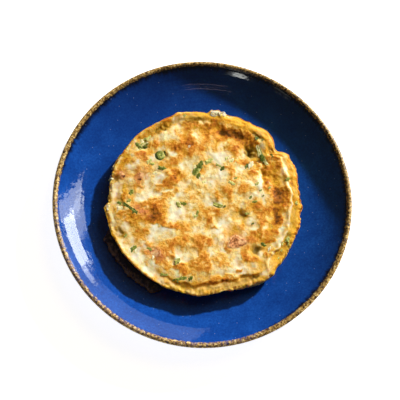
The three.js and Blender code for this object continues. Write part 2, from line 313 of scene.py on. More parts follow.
def grain(tree, size, detail=2.0, vector=None, roughness=0.5):
    """Soft noise from 0 to 1 whose lumps are about size metres wide."""
    place = vector or add_node(tree, "ShaderNodeTexCoord").outputs["Object"]
    inputs = {"Vector": place, "Scale": 1 / size, "Detail": detail, "Roughness": roughness}
    return add_node(tree, "ShaderNodeTexNoise", None, inputs).outputs["Fac"]


def vertex_value(tree, name):
    return add_node(tree, "ShaderNodeAttribute", {"attribute_name": name}).outputs["Fac"]


def bumped(tree, height, distance, strength):
    inputs = {"Height": height, "Distance": distance, "Strength": strength}
    return add_node(tree, "ShaderNodeBump", None, inputs).outputs["Normal"]


def new_material(name, finish):
    """Makes a material. The function finish(tree) returns what the Principled shader's sockets get."""
    material = bpy.data.materials.new(name)
    material.use_nodes = True
    tree = material.node_tree
    tree.nodes.clear()
    shader = add_node(tree, "ShaderNodeBsdfPrincipled", None, finish(tree))
    add_node(tree, "ShaderNodeOutputMaterial", None, {"Surface": shader.outputs[0]})
    return material


# %% [markdown]
# ## The table
#
# A plain pale table lets the food speak. The floor is a large square just under the plate. It is
# partly emissive, as white paper under studio flash looks, so that shadows on it stay pale.

# %% Lay the table
TABLE_HALF = 2.5
TABLE_GAP = 0.0002


def table_finish(tree):
    speckle = grain(tree, 0.004)
    return {
        "Base Color": color_ramp(tree, speckle, [(0.0, srgb(238, 237, 235)), (1.0, srgb(248, 247, 245))]),
        "Roughness": 0.9,
        "Emission Color": srgb(255, 254, 252),
        "Emission Strength": 0.93,
    }


table_mesh = bpy.data.meshes.new("table_top")
ways_out = [(-1, -1), (1, -1), (1, 1), (-1, 1)]
corners = [(x * TABLE_HALF, y * TABLE_HALF, cad_low.z - TABLE_GAP) for x, y in ways_out]
table_mesh.from_pydata(corners, [], [(0, 1, 2, 3)])
table_mesh.materials.append(new_material("table_paper", table_finish))
table_top = bpy.data.objects.new("table_top", table_mesh)
bpy.context.scene.collection.objects.link(table_top)
print("table, m:", 2 * TABLE_HALF)

# %% [markdown]
# ## The plate
#
# A potter turns a plate by holding a profile while the clay goes round, so the shape follows one
# rule: a profile, revolved. Blender could do it with the Screw or Spin tools. Here Geometry Nodes do
# it, because the tree keeps the number of steps and the wobble of the hand as named inputs.
#
# The profile runs from the middle of the underside, round the foot ring, up the outside of the
# wall, over the round rim and back down to the middle of the floor. The wall is one arc.

# %% The plate's profile
plate_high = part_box("plate")[1]
PLATE_RADIUS = plate_high.x
PLATE_HEIGHT = plate_high.z
FOOT_OUTER = 0.075
FOOT_INNER = 0.068
FOOT_HEIGHT = 0.0025
FOOT_SLOPE = 0.0014
FLOOR_RADIUS = 0.082
FLOOR_THICKNESS = 0.005
RIM_THICKNESS = 0.0044
UNDERSIDE_STEPS = 14
FOOT_STEPS = 4
WALL_STEPS = 34
RIM_STEPS = 20
FLOOR_STEPS = 34


def wall_point(share, side):
    """A point of the wall, from the floor (0) to the rim (1), on its outside (-1) or inside (1)."""
    rim_half = RIM_THICKNESS / 2
    run = PLATE_RADIUS - rim_half - FLOOR_RADIUS
    start_height = FOOT_HEIGHT + FLOOR_THICKNESS / 2
    rise = PLATE_HEIGHT - rim_half - start_height
    bend_radius = (run**2 + rise**2) / (2 * rise)
    slope = math.asin(run / bend_radius) * share
    half = (FLOOR_THICKNESS + (RIM_THICKNESS - FLOOR_THICKNESS) * share) / 2 * side
    radius = FLOOR_RADIUS + bend_radius * math.sin(slope) - half * math.sin(slope)
    height = start_height + bend_radius * (1 - math.cos(slope)) + half * math.cos(slope)
    return Vector((radius, 0, height))


def level_points(start, end, height, count):
    return [Vector((radius, 0, height)) for radius in np.linspace(start, end, count)]


RIM_CENTRE = (wall_point(1, -1) + wall_point(1, 1)) / 2


def plate_profile():
    points = level_points(0, FOOT_INNER - FOOT_SLOPE, FOOT_HEIGHT, UNDERSIDE_STEPS)
    points += level_points(FOOT_INNER, FOOT_OUTER, 0, FOOT_STEPS)
    points.append(Vector((FOOT_OUTER + FOOT_SLOPE, 0, FOOT_HEIGHT)))
    points += [wall_point(share, -1) for share in np.linspace(0, 1, WALL_STEPS)]
    for step in range(1, RIM_STEPS):
        turn = Matrix.Rotation(-math.pi * step / RIM_STEPS, 3, "Y")
        points.append(RIM_CENTRE + turn @ (wall_point(1, -1) - RIM_CENTRE))
    points += [wall_point(share, 1) for share in np.linspace(1, 0, WALL_STEPS)]
    points += level_points(FLOOR_RADIUS, 0, FOOT_HEIGHT + FLOOR_THICKNESS, FLOOR_STEPS)[1:]
    return points


profile = plate_profile()
profile_mesh = bpy.data.meshes.new("plate_profile")
profile_mesh.from_pydata(profile, [(step, step + 1) for step in range(len(profile) - 1)], [])
print("profile points:", len(profile), "middle of the rim, mm:", [round(v / MM, 1) for v in RIM_CENTRE])

# %% [markdown]
# Two things are the same for every tree of Geometry Nodes here. It starts with named inputs, and it
# ends by making instances real and giving them a finish. The modifier is then used once: its result
# becomes a plain mesh, and the modifier goes. An input is set by the socket's identifier.


# %% Begin, end and apply a geometry tree
def begin_tree(name, **kinds):
    """A tree with Geometry and Material inputs and others by name, and the sockets they arrive on."""
    tree = bpy.data.node_groups.new(name, "GeometryNodeTree")
    for socket_name, kind in {"Geometry": "Geometry", **kinds, "Material": "Material"}.items():
        tree.interface.new_socket(socket_name, in_out="INPUT", socket_type="NodeSocket" + kind)
    tree.interface.new_socket("Geometry", in_out="OUTPUT", socket_type="NodeSocketGeometry")
    return tree, add_node(tree, "NodeGroupInput").outputs


def end_tree(tree, given, geometry):
    real = add_node(tree, "GeometryNodeRealizeInstances", None, {"Geometry": geometry})
    inputs = {"Geometry": real.outputs[0], "Material": given["Material"]}
    finished = add_node(tree, "GeometryNodeSetMaterial", None, inputs)
    add_node(tree, "NodeGroupOutput", None, {"Geometry": finished.outputs[0]})
    return tree


def apply_tree(source, tree, values, name):
    """Runs a tree on an object, and returns the result as an object with a plain mesh."""
    bpy.context.scene.collection.objects.link(source)
    modifier = source.modifiers.new(tree.name, "NODES")
    modifier.node_group = tree
    for item in tree.interface.items_tree:
        if item.in_out == "INPUT" and item.name in values:
            modifier[item.identifier] = values[item.name]
    evaluated = source.evaluated_get(bpy.context.evaluated_depsgraph_get())
    mesh = bpy.data.meshes.new_from_object(evaluated)
    source.modifiers.remove(modifier)
    bpy.data.objects.remove(source)
    mesh.name = name
    result = bpy.data.objects.new(name, mesh)
    bpy.context.scene.collection.objects.link(result)
    return result


# %% [markdown]
# A grid has one row of points for each point of the profile. Its index says which profile point and
# which turn a grid point belongs to. Sample Index fetches the profile point, Vector Rotate turns it
# round the upright axis, and a little noise lets the rim wander as a hand-thrown one does. Merging by
# distance closes the seam and the two poles.

# %% Revolve the profile
SEAM_DISTANCE = 0.00001


def lathe_tree():
    tree, given = begin_tree("revolve_profile", Turns="Int", Wobble="Float", Seed="Float")
    steps = add_node(tree, "GeometryNodeAttributeDomainSize", None, {0: given["Geometry"]})
    columns = calculate(tree, "ADD", given["Turns"], 1)
    counts = {"Vertices X": steps.outputs["Point Count"], "Vertices Y": columns}
    grid = add_node(tree, "GeometryNodeMeshGrid", None, counts)

    index = add_node(tree, "GeometryNodeInputIndex").outputs[0]
    row = calculate(tree, "DIVIDE", calculate(tree, "ADD", index, 0.5), columns)
    row = calculate(tree, "FLOOR", row)
    turn = calculate(tree, "SUBTRACT", index, calculate(tree, "MULTIPLY", row, columns))
    angle = calculate(tree, "DIVIDE", turn, given["Turns"])
    angle = calculate(tree, "MULTIPLY", angle, 2 * math.pi)
    position = add_node(tree, "GeometryNodeInputPosition").outputs[0]
    wanted = {"Geometry": given["Geometry"], "Value": position, "Index": row}
    fetched = add_node(tree, "GeometryNodeSampleIndex", {"data_type": "FLOAT_VECTOR"}, wanted)
    upright = {"Vector": fetched.outputs[0], "Angle": angle}
    turned = add_node(tree, "ShaderNodeVectorRotate", {"rotation_type": "Z_AXIS"}, upright).outputs[0]

    wave = {"Vector": turned, "W": given["Seed"], "Scale": 9.0, "Detail": 2.0}
    wander = add_node(tree, "ShaderNodeTexNoise", {"noise_dimensions": "4D"}, wave).outputs["Color"]
    wander = vector_math(tree, "SUBTRACT", wander, (0.5, 0.5, 0.5))
    wander = vector_math(tree, "SCALE", wander, scale=given["Wobble"])
    place = {"Geometry": grid.outputs["Mesh"], "Position": turned, "Offset": wander}
    moved = add_node(tree, "GeometryNodeSetPosition", None, place)
    doubles = {"Geometry": moved.outputs[0], "Distance": SEAM_DISTANCE}
    merged = add_node(tree, "GeometryNodeMergeByDistance", None, doubles)
    smooth = add_node(tree, "GeometryNodeSetShadeSmooth", None, {"Geometry": merged.outputs[0]})
    return end_tree(tree, given, smooth.outputs[0])


lathe = lathe_tree()
print("nodes in the lathe:", len(lathe.nodes))

# %% [markdown]
# ## The glaze
#
# The glaze is a deep cobalt. Where it runs thin, at the rim, the iron of the clay breaks through:
# first the blue darkens in a feathered band, then the lip itself turns speckled gold and brown.
# One measure steers all of it, the distance from the middle of the rounded lip, so the inside and
# the outside of the wall break alike. An image painted on the plate would need a seam somewhere.


# %% Measure the plate in nodes
def plate_measures(tree):
    """The place, the way out from the middle, the radius, the height and how far the lip is."""
    place = add_node(tree, "ShaderNodeTexCoord").outputs["Object"]
    flat = vector_math(tree, "MULTIPLY", place, (1, 1, 0))
    radius = vector_math(tree, "LENGTH", flat)
    height = add_node(tree, "ShaderNodeSeparateXYZ", None, {0: place}).outputs["Z"]
    across = calculate(tree, "SUBTRACT", radius, RIM_CENTRE.x)
    above = calculate(tree, "SUBTRACT", height, RIM_CENTRE.z)
    pair = add_node(tree, "ShaderNodeCombineXYZ", None, {0: across, 1: above}).outputs[0]
    return place, vector_math(tree, "NORMALIZE", flat), radius, height, vector_math(tree, "LENGTH", pair)


def on_side(tree, heading, side, low, high, to_low=0.0, to_high=1.0):
    """Eases from one value to another towards one side of the plate."""
    facing = vector_math(tree, "DOT_PRODUCT", heading, side)
    return remap(tree, facing, low, high, to_low, to_high)


# %% [markdown]
# Glaze runs outwards while it melts, so the dark band ends in feathers. Noise in polar coordinates
# draws them: it reads the way out and the radius in place of x, y and z. The band is widest at the
# back, and nearly gone at the front left, where the glaze was thicker. Towards the back of the wall
# the cobalt is darkened as painted shade, where that wall turns away from the key lamp.


# %% Darken the band and paint shade on the back wall
def rim_feathers(tree, heading, radius):
    outward = add_node(tree, "ShaderNodeCombineXYZ", None, {2: calculate(tree, "MULTIPLY", radius, 3.0)})
    polar = vector_math(tree, "ADD", heading, outward.outputs[0])
    return grain(tree, 1 / 55, 3.0, polar, 0.6), grain(tree, 1 / 12, 2.0, polar)


def past_the_band(tree, heading, from_rim, fine, broad):
    """From 0 in the dark band to 1 where it has feathered out."""
    width = on_side(tree, heading, (0.71, -0.71, 0), -0.9, 0.6, 0.0064, 0.0052)
    thinned = on_side(tree, heading, (-0.64, -0.77, 0), 0.1, 0.8, 1.0, 0.24)
    width = calculate(tree, "MULTIPLY", width, thinned)
    ragged = sway(tree, fine, calculate(tree, "MULTIPLY", thinned, 0.0065), from_rim)
    ragged = sway(tree, broad, calculate(tree, "MULTIPLY", thinned, 0.006), ragged)
    return remap(tree, calculate(tree, "DIVIDE", ragged, width), 0.42, 1.15)


def cobalt_color(tree, place, heading, radius, mottle):
    clouds = grain(tree, 0.016, 2.0, place)
    tone = calculate(tree, "MULTIPLY_ADD", clouds, 0.45, calculate(tree, "MULTIPLY", mottle, 0.75))
    cobalt = color_ramp(
        tree,
        tone,
        [
            (0.32, (0.0026, 0.034, 0.222, 1)),
            (0.60, (0.0052, 0.065, 0.362, 1)),
            (0.86, (0.0116, 0.108, 0.516, 1)),
        ],
    )
    up_the_wall = remap(tree, radius, 0.07, 0.095)
    # Painted shade: a darker cobalt is mixed in up the back of the wall.
    painted_back_shade = calculate(tree, "MULTIPLY", on_side(tree, heading, (0.1, 0.99, 0), 0.1, 0.95), up_the_wall)
    painted_back_shade = calculate(tree, "MULTIPLY", painted_back_shade, 0.4)
    return blend_colors(tree, painted_back_shade, cobalt, (0.0034, 0.022, 0.194, 1))


# %% [markdown]
# The finish lays these over each other: cobalt, the navy band, the speckled lip, a few pale pinholes
# and the bare clay of the foot. Faint throwing rings and the skin of the melt finish the surface. The
# lip is rougher than the rest, as glaze is where iron breaks through it.

# %% Mix the glaze and fire the plate
RING_WAVES = 1500.0


def lip_color(tree, speckle):
    return color_ramp(
        tree,
        speckle,
        [
            (0.36, srgb(46, 34, 14)),
            (0.43, srgb(124, 92, 42)),
            (0.53, srgb(198, 156, 80)),
            (0.62, srgb(255, 228, 156)),
        ],
    )


def glaze_finish(tree):
    place, heading, radius, height, from_rim = plate_measures(tree)
    fine, broad = rim_feathers(tree, heading, radius)
    mottle = grain(tree, 0.0017, 3.0, place, 0.65)
    navy = (0.0022, 0.0050, 0.0220, 1)
    cobalt = cobalt_color(tree, place, heading, radius, mottle)
    body = blend_colors(tree, past_the_band(tree, heading, from_rim, fine, broad), navy, cobalt)

    speckle = grain(tree, 0.0021, 3.0, place, 0.7)
    lip_edge = sway(tree, fine, 0.0012, from_rim)
    body = blend_colors(tree, remap(tree, lip_edge, 0.0021, 0.0029), lip_color(tree, speckle), body)
    cells = {"Vector": place, "Scale": 62.0}
    pinholes = add_node(tree, "ShaderNodeTexVoronoi", {"voronoi_dimensions": "2D"}, cells)
    pinhole = remap(tree, pinholes.outputs["Distance"], 0.014, 0.028, 0.40, 0.0)
    body = blend_colors(tree, pinhole, body, srgb(170, 190, 225))
    bare = remap(tree, height, 0.0004, 0.0010, 1.0, 0.0)
    clay = blend_colors(tree, speckle, srgb(188, 158, 122), srgb(150, 116, 82))

    rings = calculate(tree, "SINE", calculate(tree, "MULTIPLY", radius, RING_WAVES))
    surface = calculate(tree, "MULTIPLY_ADD", rings, 0.12, grain(tree, 0.006, 2.0, place))
    surface = calculate(tree, "MULTIPLY_ADD", mottle, 0.10, surface)
    gloss = remap(tree, lip_edge, 0.0021, 0.0031, 0.34, 0.075)
    return {
        "Base Color": blend_colors(tree, bare, body, clay),
        "Roughness": calculate(tree, "MULTIPLY_ADD", bare, 0.6, gloss),
        "IOR": 1.5,
        "Normal": bumped(tree, surface, 0.0002, 0.5),
    }


glaze = new_material("cobalt_glaze", glaze_finish)
profile_object = bpy.data.objects.new("plate_profile", profile_mesh)
lathe_values = {"Turns": 216, "Wobble": 0.0009, "Seed": 3.0, "Material": glaze}
glazed_plate = apply_tree(profile_object, lathe, lathe_values, "glazed_plate")
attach(glazed_plate, "root")
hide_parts("plate")
crockery.objects.link(glazed_plate)
print("plate faces:", len(glazed_plate.data.polygons))

# %% [markdown]
# ## The omelette's outline
#
# The cook turned the omelette over, so what was fried first now lies on top. Its outline wanders, the
# back edge rolls up into a lip, the right edge steps down along a ledge, the front left lifts off the
# plate with a crisp rim over a scalloped, browned foot, and at the front two layers part. Sculpting
# could make this, but every one of these features has a place and a size, so they are written down
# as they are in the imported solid, and then given the detail of real egg.
#
# Bearings are in degrees from +X, turning towards +Y. All of it is worked out with whole arrays of
# numbers at once, which numpy does in a blink where a loop over each point would take long.

# %% The outline
OMELETTE_MIDDLE = (1.0, -2.5)
OMELETTE_RADII = (85.0, 84.0)
OMELETTE_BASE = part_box("omelette")[0].z / MM
OMELETTE_THICKNESS = 15.6
CROWN = 0.9

# bearing, spread in degrees, outward
EDGE_SWELLS = [
    (21, 7, 3.0), (30, 3, 1.8), (36, 4, -4.4), (49, 7, 2.9), (67, 4, 1.2), (81, 4.5, 2.8),
    (103, 8, 1.8), (130, 13, 1.1), (122, 7, -0.7), (153, 6, 1.2), (175, 5, -1.2), (186, 4, 1.8),
    (197, 5, 0.8), (228, 16, -0.6), (257, 7, -0.4), (263, 5, 0.9), (280, 9, -2.2), (307, 9, 3.8),
    (322, 7, 1.0), (334, 6, 0.2), (345, 4, 1.4), (356, 3, 0.8),
]
# Small torn points and nicks: bearing, spread in degrees, outward
EDGE_TEARS = [
    (28.6, 0.9, 0.9), (33.5, 1.6, -0.8), (60, 1.8, 0.7), (76.6, 1.0, 0.9), (84.6, 0.9, 1.3),
    (80, 1.2, 0.5), (87.5, 1.2, -0.9), (105.5, 1.6, 0.8), (110, 2.0, -0.6), (121, 1.5, 0.5),
    (158, 1.6, 0.7), (183.6, 1.3, 1.4), (180.5, 1.6, -1.2), (201, 1.5, 0.6), (213, 1.2, 0.5),
    (268, 1.8, 0.3), (291, 1.6, 0.6), (311, 1.3, 1.0), (316, 1.5, -0.7), (325, 1.3, 0.5),
    (339, 1.5, 0.6), (356, 1.4, 1.3),
]


def bell(distance, spread):
    return np.exp(-((distance / spread) ** 2))


def bearing_between(start, end):
    return (end - start + 180) % 360 - 180


def edge_radius(bearing):
    angle = np.radians(bearing)
    radius_x, radius_y = OMELETTE_RADII
    radius = 1 / np.hypot(np.cos(angle) / radius_x, np.sin(angle) / radius_y)
    for at, spread, out in EDGE_SWELLS + EDGE_TEARS:
        radius = radius + out * bell(bearing_between(at, bearing), spread)
    return radius


reaches = edge_radius(np.arange(360.0))
print("outline reaches from", round(float(reaches.min()), 1), "to", round(float(reaches.max()), 1), "mm")

# %% [markdown]
# Ridges and grooves run along stretches of the edge: the rolled lip at the back, the shade behind it,
# the thin crest on the left. Each has a middle bearing and a half length, and its strength eases off
# to nothing at the ends, so they blend. On the right and at the front the top layer stops short, and
# the layer under it shows outside it as a terrace. No cook tears egg along a circle, so a wave in the
# distance from the edge lets every ledge wander.

# %% What runs along the edge
# middle bearing, half length, then distance in from the edge, width and rise
EDGE_RUNS = [
    (66, 42, 10.0, 6.5, 1.2),
    (64, 40, 21.0, 6.5, -1.5),
    (66, 42, 0.0, 3.5, -1.4),
    (122, 26, 2.6, 2.2, 1.0),
    (122, 26, 7.5, 3.4, -1.2),
    (168, 36, 1.8, 2.4, 0.5),
    (168, 36, 5.5, 3.0, -0.7),
    (182, 36, 0.0, 2.6, -1.5),
    (184, 44, 0.0, 20.0, -1.2),
    (222, 30, 0.6, 2.8, 1.3),
    (266, 46, 0.0, 14.0, -1.0),
    (276, 34, 1.8, 2.4, 0.7),
    (-8, 48, 10.8, 2.2, 0.9),
    (-8, 46, 21.5, 6.0, -1.6),
]
# middle bearing, half length, then the top layer's distance in, its step down, the fall beyond it
TERRACES = [
    (-8, 48, 10.0, 1.4, 2.2),
    (276, 40, 9.0, 1.5, 0.0),
    (246, 16, 10.0, 0.3, 0.1),
]
STEP_WIDTH = 1.3
LEDGE_WANDER = 0.8
FULL_SHARE = 0.55


def smoothstep(value, low, high):
    share = np.clip((value - low) / (high - low), 0, 1)
    return share * share * (3 - 2 * share)


def strength(stretch, bearing):
    """How far a bearing belongs to a stretch of the edge, given as its middle and half length."""
    share = np.abs(bearing_between(stretch[0], bearing)) / stretch[1]
    return 1 - smoothstep(share, FULL_SHARE, 1)


def wandering(bearing, inset):
    """The distance in from the edge, waved so that ledges aren't parallel to the edge."""
    turn = np.radians(bearing)
    wave = np.sin(13 * turn + 1.0) + 0.7 * np.sin(29 * turn)
    return inset + LEDGE_WANDER * wave * smoothstep(inset, 3, 7)


def edge_relief(bearing, inset):
    inset = wandering(bearing, inset)
    relief = np.zeros_like(inset)
    for middle, half, at, width, rise in EDGE_RUNS:
        relief = relief + rise * strength((middle, half), bearing) * bell(inset - at, width)
    for middle, half, at, step, fall in TERRACES:
        stepped = step * (1 - smoothstep(inset, at - STEP_WIDTH, at))
        below = stepped + fall * (1 - smoothstep(inset, 0, at))
        relief = relief - strength((middle, half), bearing) * below
    return relief


print("runs and terraces:", len(EDGE_RUNS), len(TERRACES))

# %% [markdown]
# The top has broad lumps and hollows too, as wide as a thumb. Each is a bell curve with a place, a
# spread and a rise. Summed, they give one height for every place on the top, and soft noise lets the
# ridges along the edge stray a little as they go round.

# %% The height of the top
# x, y, spread, rise
TOP_LUMPS = [
    (55, 20, 6, -1.2), (-41, -12.3, 13, 0.8), (-62, -15.3, 8, 0.8), (-51, 24.7, 12, 0.9),
    (-27, 16.7, 9, 0.9), (-6, 42.7, 12, 1.0), (-26, 52.7, 9, 0.8), (-34, 57.7, 6, 0.9),
    (25, 8.7, 13, 1.0), (43, 6.7, 9, 0.8), (64, -7.3, 9, 1.2), (56, -31.3, 10, 0.9),
    (-20, -39.3, 12, 1.0), (8, -63.3, 14, 0.9), (-36, -54.3, 9, 0.7), (18, -13.3, 9, 0.6),
    (-46, 6.7, 9, -0.6), (-58, -38.3, 10, -0.4), (-39, -35.3, 7, -0.3), (-15, -50.3, 8, -0.9),
    (32, -17.3, 5, -1.5), (22, -29.3, 6, -0.4), (13, -36.3, 6, 0.7), (6, 28.7, 11, -0.4),
    (-24, -13.3, 8, -0.3), (36, 34.7, 5, -2.0), (50, 8.7, 4, 0.9), (43, -47.3, 3.5, -1.8),
    (-52, 46.7, 5, -1.2), (-28, -57.3, 3.5, -1.1),
]
EDGE_WANDER = 1.2
BROAD_WANDER = 1.6


def noise_at(points, size, octaves=2, seed=0):
    """Soft noise, about -1 to 1, with lumps about size millimetres wide."""
    shift = Vector((17.3, -9.1, 5.7)) * (seed + 1)
    values = [noise.fractal(Vector(point) / size + shift, 1.0, 2.0, octaves) for point in points]
    return np.array(values)


def level_points_at(x, y):
    return np.stack([x, y, 0 * x], axis=1)


def top_height(x, y):
    """Height of the top over the omelette's base."""
    out_x = x - OMELETTE_MIDDLE[0]
    out_y = y - OMELETTE_MIDDLE[1]
    bearing = np.degrees(np.arctan2(out_y, out_x))
    edge = edge_radius(bearing)
    reach = np.hypot(out_x, out_y)
    height = OMELETTE_THICKNESS + CROWN * (1 - (reach / edge) ** 2)
    height = height + 0.2 * np.sin(2 * np.pi * x / 19) * np.cos(2 * np.pi * y / 23)
    for at_x, at_y, spread, rise in TOP_LUMPS:
        height = height + rise * bell(np.hypot(x - at_x, y - at_y), spread)
    flat = level_points_at(x, y)
    wander = EDGE_WANDER * noise_at(flat, 6.0, 2, 3) + BROAD_WANDER * noise_at(flat, 18.0, 1, 12)
    return height + edge_relief(bearing, edge - reach + wander)


print("lumps and hollows:", len(TOP_LUMPS))

# %% [markdown]
# ## One skin over the whole omelette
#
# The mesh needs even quads, or the fine relief would smear. Rings round a centre crowd together in
# the middle. A square grid bent onto a disc stays even, so the top is such a grid: each square ring
# of the grid becomes a round ring of the disc.

# %% Bend a grid onto the disc
TOP_CELLS = 236
TOP_EDGE_INSET = 1.9
RIM_INSET = 3.4
CRISPNESS = 0.75
LIFTED_RIM = (235, 68)


def disc_grid(cells):
    """Bearing and share of the way out for each point of a square grid bent onto a disc."""
    line = np.linspace(-1, 1, cells + 1)
    across, along = np.meshgrid(line, line, indexing="ij")
    wide = np.abs(across) >= np.abs(along)
    reach = np.where(wide, across, along)
    safe = np.where(reach == 0, 1, reach)
    slant = (math.pi / 4) * np.where(wide, along, across) / safe
    angle = np.where(wide, slant, math.pi / 2 - slant)
    x = reach * np.cos(angle)
    y = reach * np.sin(angle)
    return np.degrees(np.arctan2(y, x)).ravel(), np.abs(reach).ravel()


def place_at(bearing, inset):
    reach = edge_radius(bearing) - inset
    angle = np.radians(bearing)
    return OMELETTE_MIDDLE[0] + reach * np.cos(angle), OMELETTE_MIDDLE[1] + reach * np.sin(angle)


def top_points(bearing, share):
    """Points of the top. Its rim is round, but crisp where it lifts off the plate."""
    start = TOP_EDGE_INSET * (1 - CRISPNESS * strength(LIFTED_RIM, bearing))
    inset = start + (edge_radius(bearing) - start) * (1 - share)
    x, y = place_at(bearing, inset)
    near_edge = np.clip((RIM_INSET - inset) / (RIM_INSET - start), 0, 1)
    height = top_height(x, y) * (1 - 0.04 * near_edge**2)
    return np.stack([x, y, OMELETTE_BASE + height], axis=1)


bearings_of_grid, shares_of_grid = disc_grid(TOP_CELLS)
print("grid points on the top:", len(bearings_of_grid))

# %% [markdown]
# The grid's border runs on down the side in level rings. A short table gives the side's section, from
# the rim to the plate. Where the rim is lifted, the section is undercut as well, and at the front
# left the foot of the browned underside flares out beyond the rim in scallops.

# %% Shape the side
# share of the rim's height, distance in, then how much of the undercut, lift and flare a level takes
SIDE_LEVELS = np.array(
    [
        (0.96, 1.9, 0.0, 0.0, 0.0),
        (0.88, 1.0, 0.0, 0.0, 0.0),
        (0.74, 0.4, 0.1, 0.2, 0.0),
        (0.56, 0.2, 0.5, 0.5, 0.0),
        (0.38, 0.6, 1.0, 0.8, 0.0),
        (0.20, 2.4, 1.4, 1.0, 0.92),
        (0.05, 7.0, 1.4, 0.6, 1.6),
        (0.00, 13.0, 1.2, 0.0, 1.9),
    ]
)
LIFT_RISE = 2.4
LIFT_UNDERCUT = 5.0
FLARED_FOOT = (220, 34)
FLARE_REACH = 13.5
SCALLOP_WIDTH = 5.5


def side_points(bearing, down):
    """Points at one level of the side, from the top edge (0) to the contact edge (1)."""
    level = down * (len(SIDE_LEVELS) - 1)
    share, level_inset, undercut, lift, flare = [
        np.interp(level, range(len(SIDE_LEVELS)), column) for column in SIDE_LEVELS.T
    ]
    lifted = strength(LIFTED_RIM, bearing)
    level_inset = level_inset * (1 - CRISPNESS * lifted * smoothstep(share, 0.3, 0.6))
    rim_x, rim_y = place_at(bearing, RIM_INSET)
    scallop = 1 + 0.12 * noise_at(level_points_at(rim_x, rim_y), SCALLOP_WIDTH, 2, 15)
    flare_out = flare * FLARE_REACH * strength(FLARED_FOOT, bearing) * scallop
    x, y = place_at(bearing, level_inset + undercut * LIFT_UNDERCUT * lifted - flare_out)
    height = top_height(rim_x, rim_y) * share + lift * LIFT_RISE * lifted
    return np.stack([x, y, OMELETTE_BASE + height], axis=1)


print("levels down the side:", len(SIDE_LEVELS))

# %% [markdown]
# Now the points are joined. The top is the grid's own quads. From its border, each ring is joined to
# the one below it, and under the omelette two more rings and one last point close the skin, so
# nothing is open where nobody looks.

# %% Join one skin
SIDE_RINGS = 34
UNDERSIDE_SHARES = (0.66, 0.33)


def border_indices(cells):
    """The grid's border, once round, in the turning sense of the bearings."""
    bottom = [(step, 0) for step in range(cells)]
    right = [(cells, step) for step in range(cells)]
    top = [(cells - step, cells) for step in range(cells)]
    left = [(0, cells - step) for step in range(cells)]
    return np.array([row * (cells + 1) + column for row, column in bottom + right + top + left])


def quads_between(first, second):
    return np.stack([first, second, np.roll(second, -1), np.roll(first, -1)], axis=1)


def omelette_skin():
    """Every point, the quads, and the fan of triangles in the middle of the underside."""
    border = border_indices(TOP_CELLS)
    rim_bearing = bearings_of_grid[border]
    levels = [top_points(bearings_of_grid, shares_of_grid)]
    levels += [side_points(rim_bearing, step / SIDE_RINGS) for step in range(1, SIDE_RINGS + 1)]
    middle = np.array([*OMELETTE_MIDDLE, OMELETTE_BASE])
    levels += [middle + (levels[SIDE_RINGS] - middle) * share for share in UNDERSIDE_SHARES]

    side = TOP_CELLS + 1
    corner = (np.arange(TOP_CELLS)[:, None] * side + np.arange(TOP_CELLS)[None, :]).ravel()
    quads = [np.stack([corner, corner + side, corner + side + 1, corner + 1], axis=1)]
    ring = border
    count = side * side
    for _ in levels[1:]:
        next_ring = np.arange(count, count + len(border))
        quads.append(quads_between(ring, next_ring))
        ring = next_ring
        count += len(border)
    fan = [(int(a), count, int(b)) for a, b in zip(ring, np.roll(ring, -1))]
    return np.concatenate([*levels, middle[None, :]]), np.concatenate(quads), fan


skin, skin_quads, skin_fan = omelette_skin()
omelette_mesh = bpy.data.meshes.new("omelette_crust")
omelette_mesh.from_pydata(skin * MM, [], skin_quads.tolist() + skin_fan)
omelette_mesh.update()
print("omelette points:", len(skin), "triangles:", 2 * len(skin_quads) + len(skin_fan))
